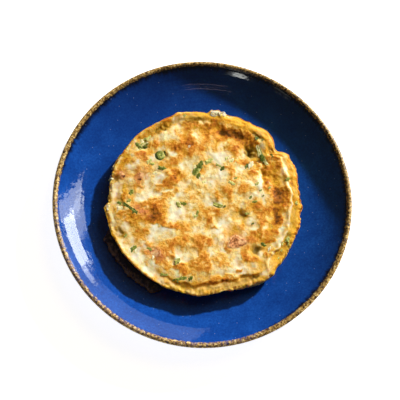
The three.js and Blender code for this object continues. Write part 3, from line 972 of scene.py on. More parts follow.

# %% [markdown]
# ## Where the pan browned it
#
# Egg browns where it touches hot metal and stays pale where a pocket of steam held it off. Those
# places are not random to the eye, so they are listed one by one, as a cook might sketch them: each
# is an oval with a middle, two half lengths, a turn and a depth of colour. Painting a texture would do
# as well, but these few lists stay easy to move. The same lists drive the relief, because browned
# skin stands a little proud of pale wells.

# %% Browned and pale places
# Partly painted shade: the deepest brown in the back groove and the right hollow stands in for shade.
# x, y, half length, half width, turn, depth of colour
BROWNED = [
    (-11, 69, 5.5, 2.6, 10, 0.85), (20, 59, 9, 3.4, -8, 1.0), (33, 56, 9, 3.8, -22, 1.0),
    (43, 49, 5, 4, -35, 0.95), (57, 12, 3.4, 5, -20, 0.95), (65, -1, 4.5, 7, 5, 1.0),
    (62, -21, 3.5, 7, 10, 0.9), (56, 27, 3, 8, 0, 0.8), (-12, 50, 8.5, 5.5, -50, 0.95),
    (-17, 44, 3.5, 2.5, 0, 0.7), (-23, 45, 5.5, 3.5, 0, 0.6), (-9, 38.5, 3.5, 2, 0, 0.55),
    (-14, 61.5, 4, 2.5, 0, 0.5), (-8, 65, 6, 2.5, 10, 0.4), (-53, 38, 5.5, 4.5, 0, 0.75),
    (-66, 33, 5, 2.5, 10, 0.45), (-72, 23.5, 2.5, 4, 0, 0.8), (-56, 19, 3, 4, 0, 0.5),
    (-51.5, 15, 2, 2.5, 0, 0.75), (-53.5, 11.5, 4, 2.5, 0, 0.5), (-43, 47, 4, 4.5, 0, 0.6),
    (-36, 50.5, 5, 2.2, 0, 0.5), (-25.5, 18, 6, 4.2, 40, 1.0), (25, 45, 3.5, 4.5, 0, 0.75),
    (-32, 10.5, 7.5, 3, 22, 0.8), (-31.5, 1.5, 3.5, 2, 0, 0.65), (-24, 4, 3, 2.6, 0, 0.55),
    (-15, 18, 6.5, 2.5, 0, 0.4), (-27, 31, 4.5, 3, 0, 0.5), (-20, 37, 5, 3, 20, 0.35),
    (-68.5, 4.5, 1.8, 5, 0, 0.55), (-65, 41.5, 3, 2.2, 0, 0.4), (-4, 3, 3, 2, 0, 0.4),
    (9, 65, 7.5, 3, 0, 0.85), (5, 61, 5, 2.5, 0, 0.65), (18, 57.5, 4.5, 3, 0, 0.8),
    (27.5, 60, 7, 3, -8, 1.0), (35, 56, 6, 3.2, -5, 1.0), (10, 53.5, 3.6, 2.8, 0, 0.65),
    (2.5, 55, 4.5, 2.5, 0, 0.5), (36, 48, 5, 3.5, 0, 0.55), (29.5, 43.5, 2.4, 6, 0, 0.7),
    (35.5, 32, 4, 2.6, 0, 0.7), (3, 43, 2.6, 1.8, 0, 0.65), (22.5, 28, 3.5, 3, 0, 0.5),
    (26, 22, 3, 2, 0, 0.5), (44, 21, 4.5, 2.4, 0, 0.7), (48.5, 28, 1.8, 3, 0, 0.7),
    (60.5, 26, 4.5, 5.5, 0, 0.5), (66, 26, 2.4, 7, 0, 0.6), (62, 42.5, 4, 1.8, -50, 0.65),
    (67, 5, 5, 4.5, 0, 0.9), (65, -2, 6.5, 4.5, 0, 1.0), (73, -1, 3, 7, 0, 0.8), (36, 6, 4, 5, 0, 0.55),
    (23, 4, 2.8, 4.5, 0, 0.55), (12, 1, 2.4, 4, 0, 0.8), (79, 11, 1.0, 6.5, 0, 0.7),
    (-42, -12, 7.5, 8, 0, 0.93), (-44.5, -20.5, 3.2, 2.2, 0, 1.0), (-37, -17, 4, 4, 0, 0.8),
    (-36, -4, 5.5, 2.6, 30, 0.7), (-48, -6, 3.5, 3, 0, 0.65), (-64, -18, 5, 4, 0, 0.5),
    (-53, -19.5, 6.5, 3, -10, 0.6), (-70, -14, 4, 2.6, 0, 0.55), (-59.5, -24, 5.5, 2.2, -40, 0.45),
    (-55.5, -11.5, 6, 2.2, -38, 0.6), (-68.5, -2.5, 1.8, 4, 0, 0.55), (-30, -26, 10, 1.9, -12, 0.65),
    (-20, -27, 2.6, 3, 0, 0.75), (-51, -34.5, 2.2, 6, -12, 0.75), (-57, -35, 2, 4.5, 0, 0.5),
    (-46.5, -41.5, 2.2, 2, 0, 0.6), (-30, -42.5, 6, 3, 30, 0.65), (-19, -38.5, 7.5, 2.8, 15, 0.85),
    (-18, -42.5, 2.4, 2, 0, 0.85), (-5, -41.5, 4, 4.8, 0, 0.9), (-3, -49, 1.8, 4, 0, 0.7),
    (-36.5, -47, 5, 2.6, 0, 0.65), (-38, -53.5, 4.5, 3.6, 0, 0.6), (-35, -58.5, 4, 2, 0, 0.7),
    (-28, -51, 2.6, 5, 0, 0.6), (-28, -62, 5.5, 2, 0, 0.6), (-17.5, -62.5, 5.5, 2.8, 0, 0.75),
    (-5.5, -58, 6, 2.6, 15, 0.65), (-5.5, -63.5, 3, 2.2, 0, 0.8), (-12, -67, 5.5, 1.8, 0, 0.5),
    (23.5, -6, 2, 5.5, 0, 0.55), (4, -17, 3, 5.5, 0, 0.6), (14, -13, 5.5, 1.8, 0, 0.45),
    (11, -28, 4, 1.3, 12, 0.9), (3.5, -41, 2.6, 4, 0, 0.6), (1, -53, 2.6, 4.5, 0, 0.7),
    (2.5, -59.5, 3.4, 1.5, 0, 0.9), (20, -45, 2.2, 4, 0, 0.75), (36, -55, 4, 3, 0, 0.7),
    (36, -49, 4, 3, 0, 0.5), (43, -56.5, 2.6, 2.2, 0, 0.6), (53.5, -52.5, 2.8, 2, 0, 0.6),
    (42, -36, 4, 4, 0, 0.75), (48.5, -32, 1.4, 4, 0, 0.8), (50.5, -22, 3.8, 4.5, 0, 0.65),
    (55, -36, 3, 4.5, -25, 0.85), (58, -40, 4, 1.8, 0, 0.75), (61.5, -29, 3, 5, -20, 0.7),
    (63, -15, 3.4, 4.4, 0, 1.0), (56, -12, 4, 3.6, 0, 0.75), (69, -11, 3, 3, 0, 0.6),
    (65, -21, 3, 4, 0, 0.6), (45.5, -9.5, 6, 3.8, 0, 0.5), (10, -73, 7, 1.8, 8, 0.7),
    (20, -71, 4, 1.8, 15, 0.75), (30, -66, 2.4, 1.4, 20, 0.75), (6, -65, 6, 4, 0, 0.4),
]
PALE = [
    (60, -61, 3, 4, -40, 0.9), (-34, 55.5, 8, 3.6, 8, 1.0), (-27, 57.5, 3.4, 2.6, 0, 0.8),
    (-5.5, 56, 4, 1.8, -40, 0.9), (-21, 66, 3, 4, 0, 0.6), (-23, 73, 4.5, 2, 10, 0.8),
    (-48, 9, 4, 9, 0, 1.0), (-43, 2, 7, 3.2, -10, 0.95), (-75, 4, 3, 6, 0, 0.8), (-6, 35, 3, 4, 0, 0.9),
    (-11, 26, 3, 6.5, -15, 1.0), (-43.5, 38, 2, 3.6, 0, 0.7), (-13, 11, 4.5, 2.2, 0, 0.6),
    (-22, 1.5, 4, 2.6, 0, 0.6), (-43, 24, 3.5, 3.5, 0, 0.5), (-66, 45.5, 2.4, 2.4, 0, 0.6),
    (-62, 7, 3, 3.6, 0, 0.75), (-66, 27.5, 3, 1.8, 0, 0.5), (13, 37.5, 7.5, 4, 0, 1.0),
    (16, 33, 6, 3.4, 0, 1.0), (34, 26, 5, 1.6, -35, 0.95), (5, 25, 3.4, 5, 0, 0.7),
    (16, 48, 6, 4, 0, 0.5), (9, 14, 6, 5, 0, 0.6), (16, 15, 2, 3, 0, 0.7), (51, 6, 1.8, 6, 15, 0.9),
    (54, -5, 2.2, 6, 5, 0.95), (72, 31, 1.8, 8, 18, 0.9), (82, 19, 1.4, 8, 0, 0.7),
    (28, 12, 3, 4, 0, 0.5), (33, 18, 5, 2, 0, 0.5), (71, 13, 2.4, 3, 0, 0.6),
    (15, 80.5, 7, 2.6, 0, 1.0), (24, 75, 4.5, 1.6, -20, 1.0), (-38, -35, 9, 5.5, 8, 1.0),
    (-25, -13, 6, 6, 0, 0.85), (-17, -10.5, 2.6, 2.8, 0, 0.9), (-12, -24, 5.5, 2.6, -55, 0.8),
    (-14, -52, 8, 4.6, 8, 0.8), (-61.5, -36, 2.4, 7, 5, 0.9), (-66, -28, 2, 4.5, 10, 0.8),
    (-78, -20, 2.2, 8, 8, 0.95), (-52, -26, 2.6, 2.4, 0, 0.7), (-60, -53, 8, 3.4, -45, 0.9),
    (-48, -64, 8, 4.2, -38, 0.9), (-70, -40, 6, 2.6, -58, 0.8), (-79, 8, 1.6, 6, -4, 0.8),
    (-78, -3, 2.0, 4, 0, 0.8), (-38, -70, 6, 2.6, -28, 0.8), (-74, 30, 1.6, 5, -20, 0.7),
    (-64, 47, 4, 1.8, 46, 0.6), (-31, -55, 1.6, 3, 0, 0.6), (-28, -78, 6, 2, -25, 0.7),
    (-70, -9, 4, 2, -20, 0.7), (-55, -1.5, 4.5, 2, 0, 0.7), (-19, -73, 6, 1.3, 0, 0.6),
    (17, -23, 5, 5.5, 0, 1.0), (14, -36, 3, 6, 0, 1.0), (29, -21, 3, 3, 0, 0.85),
    (31, -7, 3.4, 5, 0, 0.7), (4, -5, 4, 4, 0, 0.5), (41, -21.5, 3.4, 1.6, -35, 0.9),
    (56, -19, 3, 2.6, 0, 0.8), (35, -35, 1.8, 4, 0, 0.6), (5, -50, 2, 4.4, 0, 0.7),
    (28, -57, 2.4, 3.4, 0, 0.7), (47.5, -46, 1.2, 3, 0, 0.8), (66, -35, 1.6, 9, -22, 0.9),
    (73, -18, 1.6, 8, -10, 0.6), (54, -59, 1.6, 5, 0, 0.7), (45, -68, 9, 2.4, 12, 0.7),
    (35, -76, 4, 2, 0, 0.8), (2, -67, 7, 3, 0, 0.35), (17, -65, 6, 4, 0, 0.4),
    (-17, -79, 7, 2.4, -12, 0.8), (-81, 22, 1.6, 6, -8, 0.8), (-82, -8, 1.6, 4, 0, 0.8),
]
print("browned and pale places:", len(BROWNED), len(PALE))

# %% [markdown]
# Four shorter lists follow. Thick yolk shows gold. Olive is painted shade, put where shade falls:
# in pits, grooves and dips round the greens, on the right slope and under the front step. There are
# deep small pits, and places where a flake of salmon lies just under the skin and gives it a flush of
# pink.

# %% Yolk, painted olive shade, pits and salmon under the skin
# Gold, where thick yolk shows
YOLK = [
    (32, -18, 6, 4.5, -30, 1.0), (79.5, 0, 3.4, 12, 3, 1.0), (76, -25, 4.4, 11, -14, 1.0),
    (69, -46, 4.4, 9, -35, 0.9), (22.5, -30, 5, 3.8, 0, 0.9), (57, 55, 7, 3, -42, 0.7),
    (34, 68, 9, 3.4, -28, 0.7), (6, 75, 12, 3, -4, 0.6), (-12, 74, 8, 3, 6, 0.6),
    (-36, 65.5, 9, 2.4, 22, 0.7), (47, -59.5, 5, 3.4, 0, 0.7), (-81, -11, 1.6, 5, 5, 0.8),
    (-26, -74, 9, 2, -12, 0.7), (62, -55, 4, 6, -40, 0.4),
]
# Painted olive shade, in pits, grooves and dips round the greens, on the right slope and under the front
# step
PAINTED_OLIVE_SHADE = [
    (32, -17, 3.4, 2.6, -30, 0.4), (71, -37, 1.8, 5, -24, 0.5), (42, 40.5, 4.2, 7.0, 25, 1.0),
    (-76.5, 16, 2.6, 4, 10, 0.8), (-81, 4, 1.6, 4, 0, 0.7), (44, -48, 3.4, 3.4, 0, 0.9),
    (74, 15, 2.8, 3.2, 0, 0.7), (50, 55, 5, 1.8, -25, 0.7), (61.5, 42, 1.6, 4.5, 40, 0.7),
    (-36, 63.5, 13, 2.6, 27, 0.8), (-10, 71.5, 12, 2.4, 4, 0.7), (-32, 37, 2.4, 2.4, 0, 0.7),
    (-72.5, -32, 4.6, 2, -60, 0.7), (30, -17.5, 6, 2, -35, 0.6), (9, -5, 4, 3, 0, 0.5),
    (-40, 24, 5, 2.4, 10, 0.5), (-50, 52, 5, 2, 30, 0.5), (12, -79.5, 18, 1.5, 6, 0.6),
    (40, -72.5, 8, 1.5, 14, 0.6), (76.5, -22, 3, 13, -12, 0.5), (70, -45, 2.6, 8, -35, 0.5),
    (79.5, 2, 2.4, 9, 3, 0.5), (54, 16, 2, 5, 0, 0.5),
]
# Deep small pits, with their depth in millimetres
PITS = [
    (53.5, 22, 9, 2.2, 96, 2.2), (41.5, 41, 5.4, 3.6, -62, 5.0), (75, 15, 2.6, 2.2, 0, 1.2),
    (44, -48, 2.8, 2.8, 0, 1.8), (33, -16.5, 5, 2.2, -38, 1.5), (-72.5, -32, 4.4, 1.8, -60, 1.3),
    (-32, 38, 1.6, 1.6, 0, 1.6), (-76, 17, 2.2, 2.6, 0, 1.8), (50, 54, 5, 1.8, -30, 2.0),
    (41, -71.5, 3.6, 1.4, 10, 1.4), (-52, 45, 4, 1.6, 0, 1.0), (-34, 65, 9, 1.5, 24, 1.7),
    (-4, 71, 9, 1.7, 0, 1.5), (61.5, 42, 4.5, 1.5, -50, 1.6), (-24, 20, 3, 1.4, 40, 0.9),
    (9, -6, 3.6, 2, 20, 1.0), (-38, 24, 3.4, 1.6, 10, 1.0), (20, 44, 3, 2, 60, 0.9),
]
# A flush of pink, where salmon lies just under the skin
SALMON_TINT = [
    (27, -40, 10, 6.5, 14, 1.0), (-54, 19, 7, 5.5, 60, 1.0), (-70.5, 21, 5, 5, 120, 1.0),
    (-41.5, -50, 7, 5, 150, 0.9), (-33, -54, 6, 5, 0, 0.5), (-54, -12, 7, 3.5, -30, 0.9),
    (-53, 37, 5, 4, 0, 0.4), (-52, -46, 6, 4, 0, 0.4),
]


def oval_distance(x, y, oval, spread=1.0):
    """How far out of an oval each point lies, squared: 0 in its middle, 1 on its border."""
    at_x, at_y, half_length, half_width, turn, _ = oval
    angle = math.radians(turn)
    along = (x - at_x) * math.cos(angle) + (y - at_y) * math.sin(angle)
    aside = (y - at_y) * math.cos(angle) - (x - at_x) * math.sin(angle)
    return (along / (half_length * spread)) ** 2 + (aside / (half_width * spread)) ** 2


def patch_field(x, y, ovals, spread=1.15, firmness=1.4):
    """How strongly any of the ovals covers each point, 0 to the oval's own depth."""
    left_bare = np.ones_like(x)
    for oval in ovals:
        covered = np.exp(-(oval_distance(x, y, oval, spread) ** firmness))
        left_bare = left_bare * (1 - min(oval[-1], 1) * covered)
    return 1 - left_bare


def pit_depth(x, y):
    return sum(pit[-1] * np.exp(-oval_distance(x, y, pit)) for pit in PITS)


print("gold, olive, pits, pink:", len(YOLK), len(PAINTED_OLIVE_SHADE), len(PITS), len(SALMON_TINT))

# %% [markdown]
# Each point of the skin is now measured: its bearing, its distance in from the edge, how high it is
# on the side, and how far each kind of place covers it. The ovals are read at a place shifted by
# noise, which frays their borders.
#
# Noise made in layers gives egg its look: lumps of soft curd about 7 mm across, smaller ones of 3 mm
# with creases between them, and a fine crumb. Taking the size of the noise, without its sign, turns
# smooth waves into round lumps with sharp creases, which is how curds meet.

# %% Measure each point of the skin
FRAY = 2.4
here = skin
frayed = np.stack([noise_at(here, 5.0, 3, seed) for seed in (1, 2)], axis=1)
warp_x = here[:, 0] + FRAY * frayed[:, 0]
warp_y = here[:, 1] + FRAY * frayed[:, 1]
heat = patch_field(warp_x, warp_y, BROWNED, 1.35)
browned = smoothstep(heat, 0.06, 0.62)
pale = patch_field(warp_x, warp_y, PALE, 1.3, 1.0)
thick_yolk = patch_field(warp_x, warp_y, YOLK)
painted_olive_shade = patch_field(warp_x, warp_y, PAINTED_OLIVE_SHADE)
pink = patch_field(warp_x, warp_y, SALMON_TINT)
pits = pit_depth(warp_x, warp_y)

out_x = here[:, 0] - OMELETTE_MIDDLE[0]
out_y = here[:, 1] - OMELETTE_MIDDLE[1]
bearing = np.degrees(np.arctan2(out_y, out_x))
inset = edge_radius(bearing) - np.hypot(out_x, out_y)
ledge_inset = wandering(bearing, inset)
height_share = (here[:, 2] - OMELETTE_BASE) / OMELETTE_THICKNESS
on_top = smoothstep(height_share, 0.72, 0.9) * smoothstep(inset, 0.8, 2.2)

soft_lumps = noise_at(here, 7.0, 2, 4)
pillows = noise_at(here, 4.6, 1, 16)
curds = np.abs(noise_at(here, 3.4, 2, 5))
crumb = noise_at(here, 1.7, 2, 6)
print("noise ranges:", [round(float(v.max()), 2) for v in (soft_lumps, curds, crumb, frayed)])

# %% [markdown]
# The edge has zones of its own, which the relief and the colour share. The lip at the back is smooth.
# Folds run outwards across the rim, most at the back and on the right. At the front the lower layer
# shows beyond the ledge. The rim is ragged, above all on the left, the right and at the front.

# %% Find the zones along the edge
BACK_LIP = (66, 42)


def along_edge(middle, half):
    """How far each point of the skin belongs to a stretch of the edge, 0 to 1."""
    return strength((middle, half), bearing)


back_lip_zone = along_edge(*BACK_LIP) * (1 - smoothstep(inset, 9, 13))
folds = noise_at(np.stack([inset / 2.6, bearing / 9, 0 * inset], axis=1), 1.0, 2, 14)
folded = 0.25 + 0.6 * along_edge(66, 60) + 0.6 * along_edge(-15, 60)
edge_zone = (1 - smoothstep(inset, 9, 14)) * smoothstep(height_share, 0.4, 0.8)
lower_layer = along_edge(274, 42) * (1 - smoothstep(ledge_inset, 6, 8.5))
lower_layer = lower_layer * smoothstep(height_share, 0.3, 0.5)
rim_bumps = noise_at(here, 2.4, 2, 13) * (1 - 0.7 * back_lip_zone)
ragged = 0.35 + 0.7 * along_edge(172, 34) + 0.7 * along_edge(-8, 44) + 0.4 * along_edge(268, 40)
print("share in the lower layer:", round(float(lower_layer.mean()), 3))

# %% [markdown]
# The relief pushes each point out along its own normal. A Displace modifier could do this with one
# texture, but here the layers differ from place to place: browned skin is rough, pale wells are
# smooth, and the rolled lip at the back is smoother still. The underside lies flat on the plate.

# %% Raise the relief
roughness = (0.45 + 0.65 * browned - 0.3 * pale) * (1 - 0.8 * back_lip_zone)
relief = 0.46 * soft_lumps + 0.25 * pillows
relief = relief + 0.27 * roughness * (curds - 0.2) + 0.13 * roughness * crumb
relief = relief * (1 - 0.3 * pale) * smoothstep(inset, -1.0, 5.0) + 0.25 * browned
relief = relief + lower_layer * (0.4 * (curds - 0.25) + 0.8 * pillows)
relief = relief + ragged * rim_bumps * bell(inset - 1.2, 2.0) + 0.6 * folds * edge_zone * folded
relief = relief - (0.1 * pale + pits) * on_top
relief = relief * smoothstep(here[:, 2] - OMELETTE_BASE, 0.05, 2.5)

normals = np.zeros(len(here) * 3)
omelette_mesh.vertex_normals.foreach_get("vector", normals)
shaped = here + normals.reshape(-1, 3) * relief[:, None]
shaped[:, 2] = np.maximum(shaped[:, 2], OMELETTE_BASE)
omelette_mesh.vertices.foreach_set("co", (shaped * MM).ravel())
omelette_mesh.update()
print("relief, mm:", round(float(relief.min()), 2), "to", round(float(relief.max()), 2))

# %% [markdown]
# Light that has travelled through egg comes out golden, and the flanks turned away from the window
# show mostly such light. Subsurface scattering gives only part of that on so thin a fold. So each
# point's slope is compared with the direction of the key lamp, and gold is painted on such flanks:
# painted light that stands in for the glow in their shade.

# %% Find the flanks turned from the light
omelette_mesh.vertex_normals.foreach_get("vector", normals)
key_direction = toward(KEY_BEARING, KEY_ELEVATION)
facing = normals.reshape(-1, 3) @ np.array(key_direction)
turned_away = smoothstep(key_direction.z - facing, 0.0, 0.3)
print("share turned away:", round(float(turned_away.mean()), 2))

# %% [markdown]
# ## Colour as numbers on the mesh
#
# Five values are stored on every point: how far it is cooked, from white curd (0) to dark crust (1),
# how much gold shows, for yolk and for painted shade, how pink the salmon makes it, how much painted
# olive shade it has, and where the flared foot is dark with crust and painted shade. The material
# turns them into colour, so one finish serves the whole omelette. Vertex Paint could set them too,
# but worked out like this they keep their tie to the relief: crests brown and hollows stay pale.
#
# The top comes first: its own drift of tone, then what the pan did, then the wells, then the lower
# layer at the front, which never met the pan.

# %% Cook the top
drift = noise_at(here, 12.0, 3, 7)
dapple = noise_at(here, 5.0, 2, 9)
crest = np.clip(curds - 0.25 + 0.3 * crumb, -0.4, 0.5)


def mix(below, above, share):
    return below * (1 - share) + above * share


toasted = 0.50 + 0.12 * heat + 0.30 * smoothstep(heat, 0.84, 1.0) + 0.14 * crest
white_curd = 0.07 + 0.10 * drift + 0.08 * crest
inner_egg = 0.05 + 0.16 * dapple + 0.1 * drift
top_done = mix(0.30 + 0.30 * drift + 0.10 * dapple + 0.08 * crest, toasted, browned)
top_done = mix(top_done, white_curd, 0.9 * pale)
top_done = mix(top_done, inner_egg, 0.8 * lower_layer)
# Painted light: a little in from the lower left edge the egg is made paler, to lift egg turned from the key
# lamp.
top_done = top_done - 0.09 * along_edge(210, 46) * bell(inset - 8, 7) * (1 - browned)
top_done = top_done + edge_zone * (0.10 * folds + 0.06)
print("mean doneness of the top:", round(float(top_done.mean()), 3))

# %% [markdown]
# The side met the pan only at its foot, so it is plain gold with a browner line at the bottom. The
# flared foot at the front left is the crust of the underside, darkest next to the body, where that
# dark is painted shade under the lifted rim. Fine lines finish the edge: an orange rim where the thin
# egg crisped, a pale ridge along the right ledge, and a toasted line where the top layer ends at the
# front.

# %% Cook the side and the rim
# Painted light: near the front edge the side and the top are made paler and less gold, to lift egg turned
# from the key lamp.
painted_front_light = along_edge(250, 50)
bottom_rim = bell(height_share - 0.12, 0.14)
side_done = 0.36 - 0.2 * painted_front_light + 0.14 * drift + 0.1 * crest + 0.3 * bottom_rim
flared = along_edge(*FLARED_FOOT) * (1 - smoothstep(height_share, 0.5, 0.62))
flare_face = smoothstep(-inset + 1.5 * curds, 3.0, 6.5)
# Painted shade: on the flared foot the doneness runs past dark crust next to the body, which paints it near
# black under the lifted rim.
side_done = mix(side_done, 1.3 - 0.55 * flare_face, flared)
done = mix(side_done, top_done, np.maximum(on_top, lower_layer))

rim_line = bell(inset - 0.9, 1.0) * smoothstep(height_share, 0.5, 0.75)
orange_rim = 0.9 * along_edge(50, 70) + 0.6 * along_edge(225, 44)
orange_rim = orange_rim + 0.5 * along_edge(125, 26) + 0.9 * along_edge(-5, 24)
top_edge = along_edge(272, 40) * bell(ledge_inset - 9.3, 1.2)
ridge_line = along_edge(-12, 40) * bell(ledge_inset - 9.6 - 0.5 * dapple, 1.4)
ridge_line = ridge_line * smoothstep(drift, -0.9, -0.1)
done = done * (1 - 0.7 * ridge_line) + 0.4 * orange_rim * rim_line + 0.25 * top_edge
print("mean doneness:", round(float(np.clip(done, 0, 1).mean()), 3))

# %% [markdown]
# Yolk shows where the list says so, on the side and on the lip at the back. Gold is also painted as
# shade: in hollows, creases and grooves, on the ledge at the right along with its yolk, and on flanks
# turned from the key lamp. The pale wells hide much of it, but their own hollows get painted shade too.

# %% Let the yolk show and paint gold shade
# Painted shade: gold is added in grooves, pits, low lumps and hollows of the relief, where shade falls.
painted_recess_shade = smoothstep(-edge_relief(bearing, inset) - 0.5 * soft_lumps + 0.5 * pits, 0.3, 1.6)
painted_hollow_shade = 0.3 * smoothstep(-pillows, 0.0, 0.5) + 0.5 * smoothstep(-soft_lumps, 0.0, 0.5)
side_gold = 0.4 * (1 - on_top) * (1 - flared) * (1 - lower_layer) + 0.8 * back_lip_zone
# Gold on the outer slope of the right ledge: partly yolk, partly painted shade.
right_ledge = along_edge(-14, 44) * (1 - smoothstep(ledge_inset, 6, 9.5))
# Painted light: gold painted on flanks turned from the key lamp, for the glow in their shade, less at the
# front.
painted_glow_in_shade = 0.4 * turned_away * (1 - 0.4 * painted_front_light)
yolk_and_shade_gold = thick_yolk * (1 - 0.8 * ridge_line) + painted_hollow_shade + side_gold + 0.5 * painted_recess_shade + 0.5 * right_ledge
yolk_and_shade_gold = yolk_and_shade_gold * (1 - 0.3 * painted_front_light * bell(inset - 3, 6))
yolk_and_shade_gold = yolk_and_shade_gold * (1 - 0.75 * pale) + painted_glow_in_shade + 0.45 * lower_layer + 0.4 * pale * painted_hollow_shade


def store_values(mesh, values):
    """Keeps arrays of numbers on a mesh's points, where a material can read them by name."""
    for name, numbers in values.items():
        attribute = mesh.attributes.new(name, "FLOAT", "POINT")
        attribute.data.foreach_set("value", numbers.astype(np.float32))


crust_values = {"done": np.clip(done, 0, 1), "yolk_and_shade_gold": np.clip(yolk_and_shade_gold, 0, 1)}
crust_values.update({"pink": pink * on_top, "painted_olive_shade": painted_olive_shade, "crust_and_painted_shade": flared})
store_values(omelette_mesh, crust_values)
print("mean yolk:", round(float(crust_values["yolk_and_shade_gold"].mean()), 3))

# %% [markdown]
# ## The cooked egg
#
# One ramp holds the whole story from white curd through gold to dark crust. Noise finer than the
# mesh is added to the doneness first, so every patch breaks into crumbs of lighter and darker egg,
# more so the browner it is. Over that go gold for yolk and painted shade, painted olive shade, the
# dark crust and painted shade of the flared foot, and salmon pink.
# Egg is moist and lets light in, so it has a soft gloss and a little subsurface scattering.


# %% Mix the egg
def crumbled(tree, doneness, patchy, fine, finer):
    """The doneness, broken up by three sizes of noise."""
    done = sway(tree, patchy, remap(tree, doneness, 0.05, 0.5, 0.25, 1.0), doneness)
    done = sway(tree, fine, remap(tree, doneness, 0.15, 0.6, 0.11, 0.62), done)
    return sway(tree, finer, 0.15, done)


def egg_color(tree, done, fine):
    cooked = color_ramp(
        tree,
        done,
        [
            (0.02, srgb(252, 249, 236)),
            (0.13, srgb(251, 241, 208)),
            (0.26, srgb(244, 214, 142)),
            (0.42, srgb(234, 178, 82)),
            (0.56, srgb(218, 144, 48)),
            (0.70, srgb(192, 112, 30)),
            (0.86, srgb(148, 82, 18)),
            (1.00, srgb(84, 46, 8)),
        ],
    )
    # Gold for yolk, and for shade painted in hollows and on flanks turned from the lamp.
    yolk_and_shade_gold = calculate(tree, "MULTIPLY", vertex_value(tree, "yolk_and_shade_gold"), remap(tree, done, 0.3, 0.85, 0.85, 0.1))
    color = blend_colors(tree, yolk_and_shade_gold, cooked, srgb(229, 175, 40))
    # Painted shade: dark olive is mixed into the egg where the olive list puts shade.
    painted_olive_shade = vertex_value(tree, "painted_olive_shade")
    shaded_green = color_ramp(tree, painted_olive_shade, [(0.6, srgb(150, 118, 34)), (0.95, srgb(54, 50, 12))])
    color = blend_colors(tree, calculate(tree, "MULTIPLY", painted_olive_shade, 0.88), color, shaded_green)
    # Painted shade: the flared foot is dark crust that turns near black next to the body, where shade falls
    # under the lifted rim.
    dark_crust_and_shade = color_ramp(tree, done, [(0.70, srgb(112, 92, 72)), (1.00, srgb(26, 22, 19))])
    crust_and_painted_shade = calculate(tree, "MULTIPLY", vertex_value(tree, "crust_and_painted_shade"), 0.9)
    color = blend_colors(tree, crust_and_painted_shade, color, dark_crust_and_shade)
    flush = calculate(tree, "MULTIPLY", vertex_value(tree, "pink"), remap(tree, fine, 0.3, 0.7, 0.25, 0.75))
    return blend_colors(tree, flush, color, srgb(222, 142, 108))


def egg_finish(tree):
    patchy = grain(tree, 0.0055, 3.0, roughness=0.55)
    fine = grain(tree, 0.0024)
    finer = grain(tree, 0.0010)
    done = crumbled(tree, vertex_value(tree, "done"), patchy, fine, finer)
    surface = calculate(tree, "MULTIPLY_ADD", finer, 0.25, fine)
    surface = calculate(tree, "MULTIPLY", surface, remap(tree, done, 0.1, 0.5, 0.35, 1.0))
    return {
        "Base Color": egg_color(tree, done, fine),
        "Roughness": remap(tree, fine, 0.3, 0.7, 0.50, 0.62),
        "Specular IOR Level": 0.22,
        "Coat Weight": 0.12,
        "Coat Roughness": 0.22,
        "Subsurface Weight": 0.5,
        "Subsurface Radius": (1.0, 0.6, 0.22),
        "Subsurface Scale": 0.005,
        "Normal": bumped(tree, surface, 0.0006, 0.7),
    }


browned_egg = new_material("browned_egg", egg_finish)
omelette_mesh.materials.append(browned_egg)
omelette_mesh.shade_smooth()
omelette = bpy.data.objects.new("omelette_crust", omelette_mesh)
bpy.context.scene.collection.objects.link(omelette)
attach(omelette, "root")
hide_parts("omelette")
food.objects.link(omelette)
print("nodes in the egg's finish:", len(browned_egg.node_tree.nodes))

# %% [markdown]
# ## Pieces set into the egg
#
# Flakes of salmon and cuts of green onion lie in the top, most of each one sunk in the egg. They
# could be modelled from a cube with a Subdivision modifier. Lofting is quicker to steer: rings of
# points follow the piece's length, each ring is a rounded oblong, and a point closes either end.
# The rings swell and shrink like a sausage with blunt ends.


# %% Loft a rounded piece
def soften(value, squareness=0.72):
    return np.sign(value) * np.abs(value) ** squareness


def loft(rings, first, last):
    """Points and faces of a closed skin over rings of equal count, with a point at either end."""
    count, sides = rings.shape[:2]
    points = np.concatenate([rings.reshape(-1, 3), [first, last]])
    ring = np.arange(count * sides).reshape(count, sides)
    start = count * sides
    end = start + 1
    faces = []
    for lower, upper in zip(ring[:-1], ring[1:]):
        faces += quads_between(lower, upper).tolist()
    faces += [(start, int(b), int(a)) for a, b in zip(ring[0], np.roll(ring[0], -1))]
    faces += [(end, int(a), int(b)) for a, b in zip(ring[-1], np.roll(ring[-1], -1))]
    return points, faces


def rounded_piece(length, width, height, steps, sides):
    """A piece round its own middle, along X: its points and faces, in millimetres."""
    polar = np.pi * np.arange(1, steps) / steps
    around = -2 * np.pi * np.arange(sides) / sides
    fullness = np.sin(polar)[:, None] ** 0.6
    reach = np.repeat(-length / 2 * soften(np.cos(polar))[:, None], sides, axis=1)
    aside = width / 2 * fullness * soften(np.cos(around))[None, :]
    up = height / 2 * fullness * soften(np.sin(around))[None, :]
    rings = np.stack([reach, aside, up], axis=2)
    return loft(rings, (-length / 2, 0, 0), (length / 2, 0, 0))


print("a small rounded piece has", len(rounded_piece(1, 1, 1, 20, 18)[0]), "points")

# %% [markdown]
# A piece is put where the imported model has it, and then settles. A ray cast straight down from above
# finds the egg under each of its points. The piece's top stands a little proud of the egg there, and
# its rim and underside sink in. A Shrinkwrap modifier would press it flat, while this keeps its shape.


# %% Settle a piece in the egg
RAY_START = 60
SUNK_UNDERSIDE = 2.0


def drop_onto_egg(x, y):
    """Whether a ray down meets the egg, at what height, and the slope there as two small angles."""
    hit, place, normal, _ = omelette.ray_cast(Vector((x, y, RAY_START)) * MM, Vector((0, 0, -1)))
    return hit, place.z / MM, math.atan2(-normal.y, normal.z), math.atan2(normal.x, normal.z)


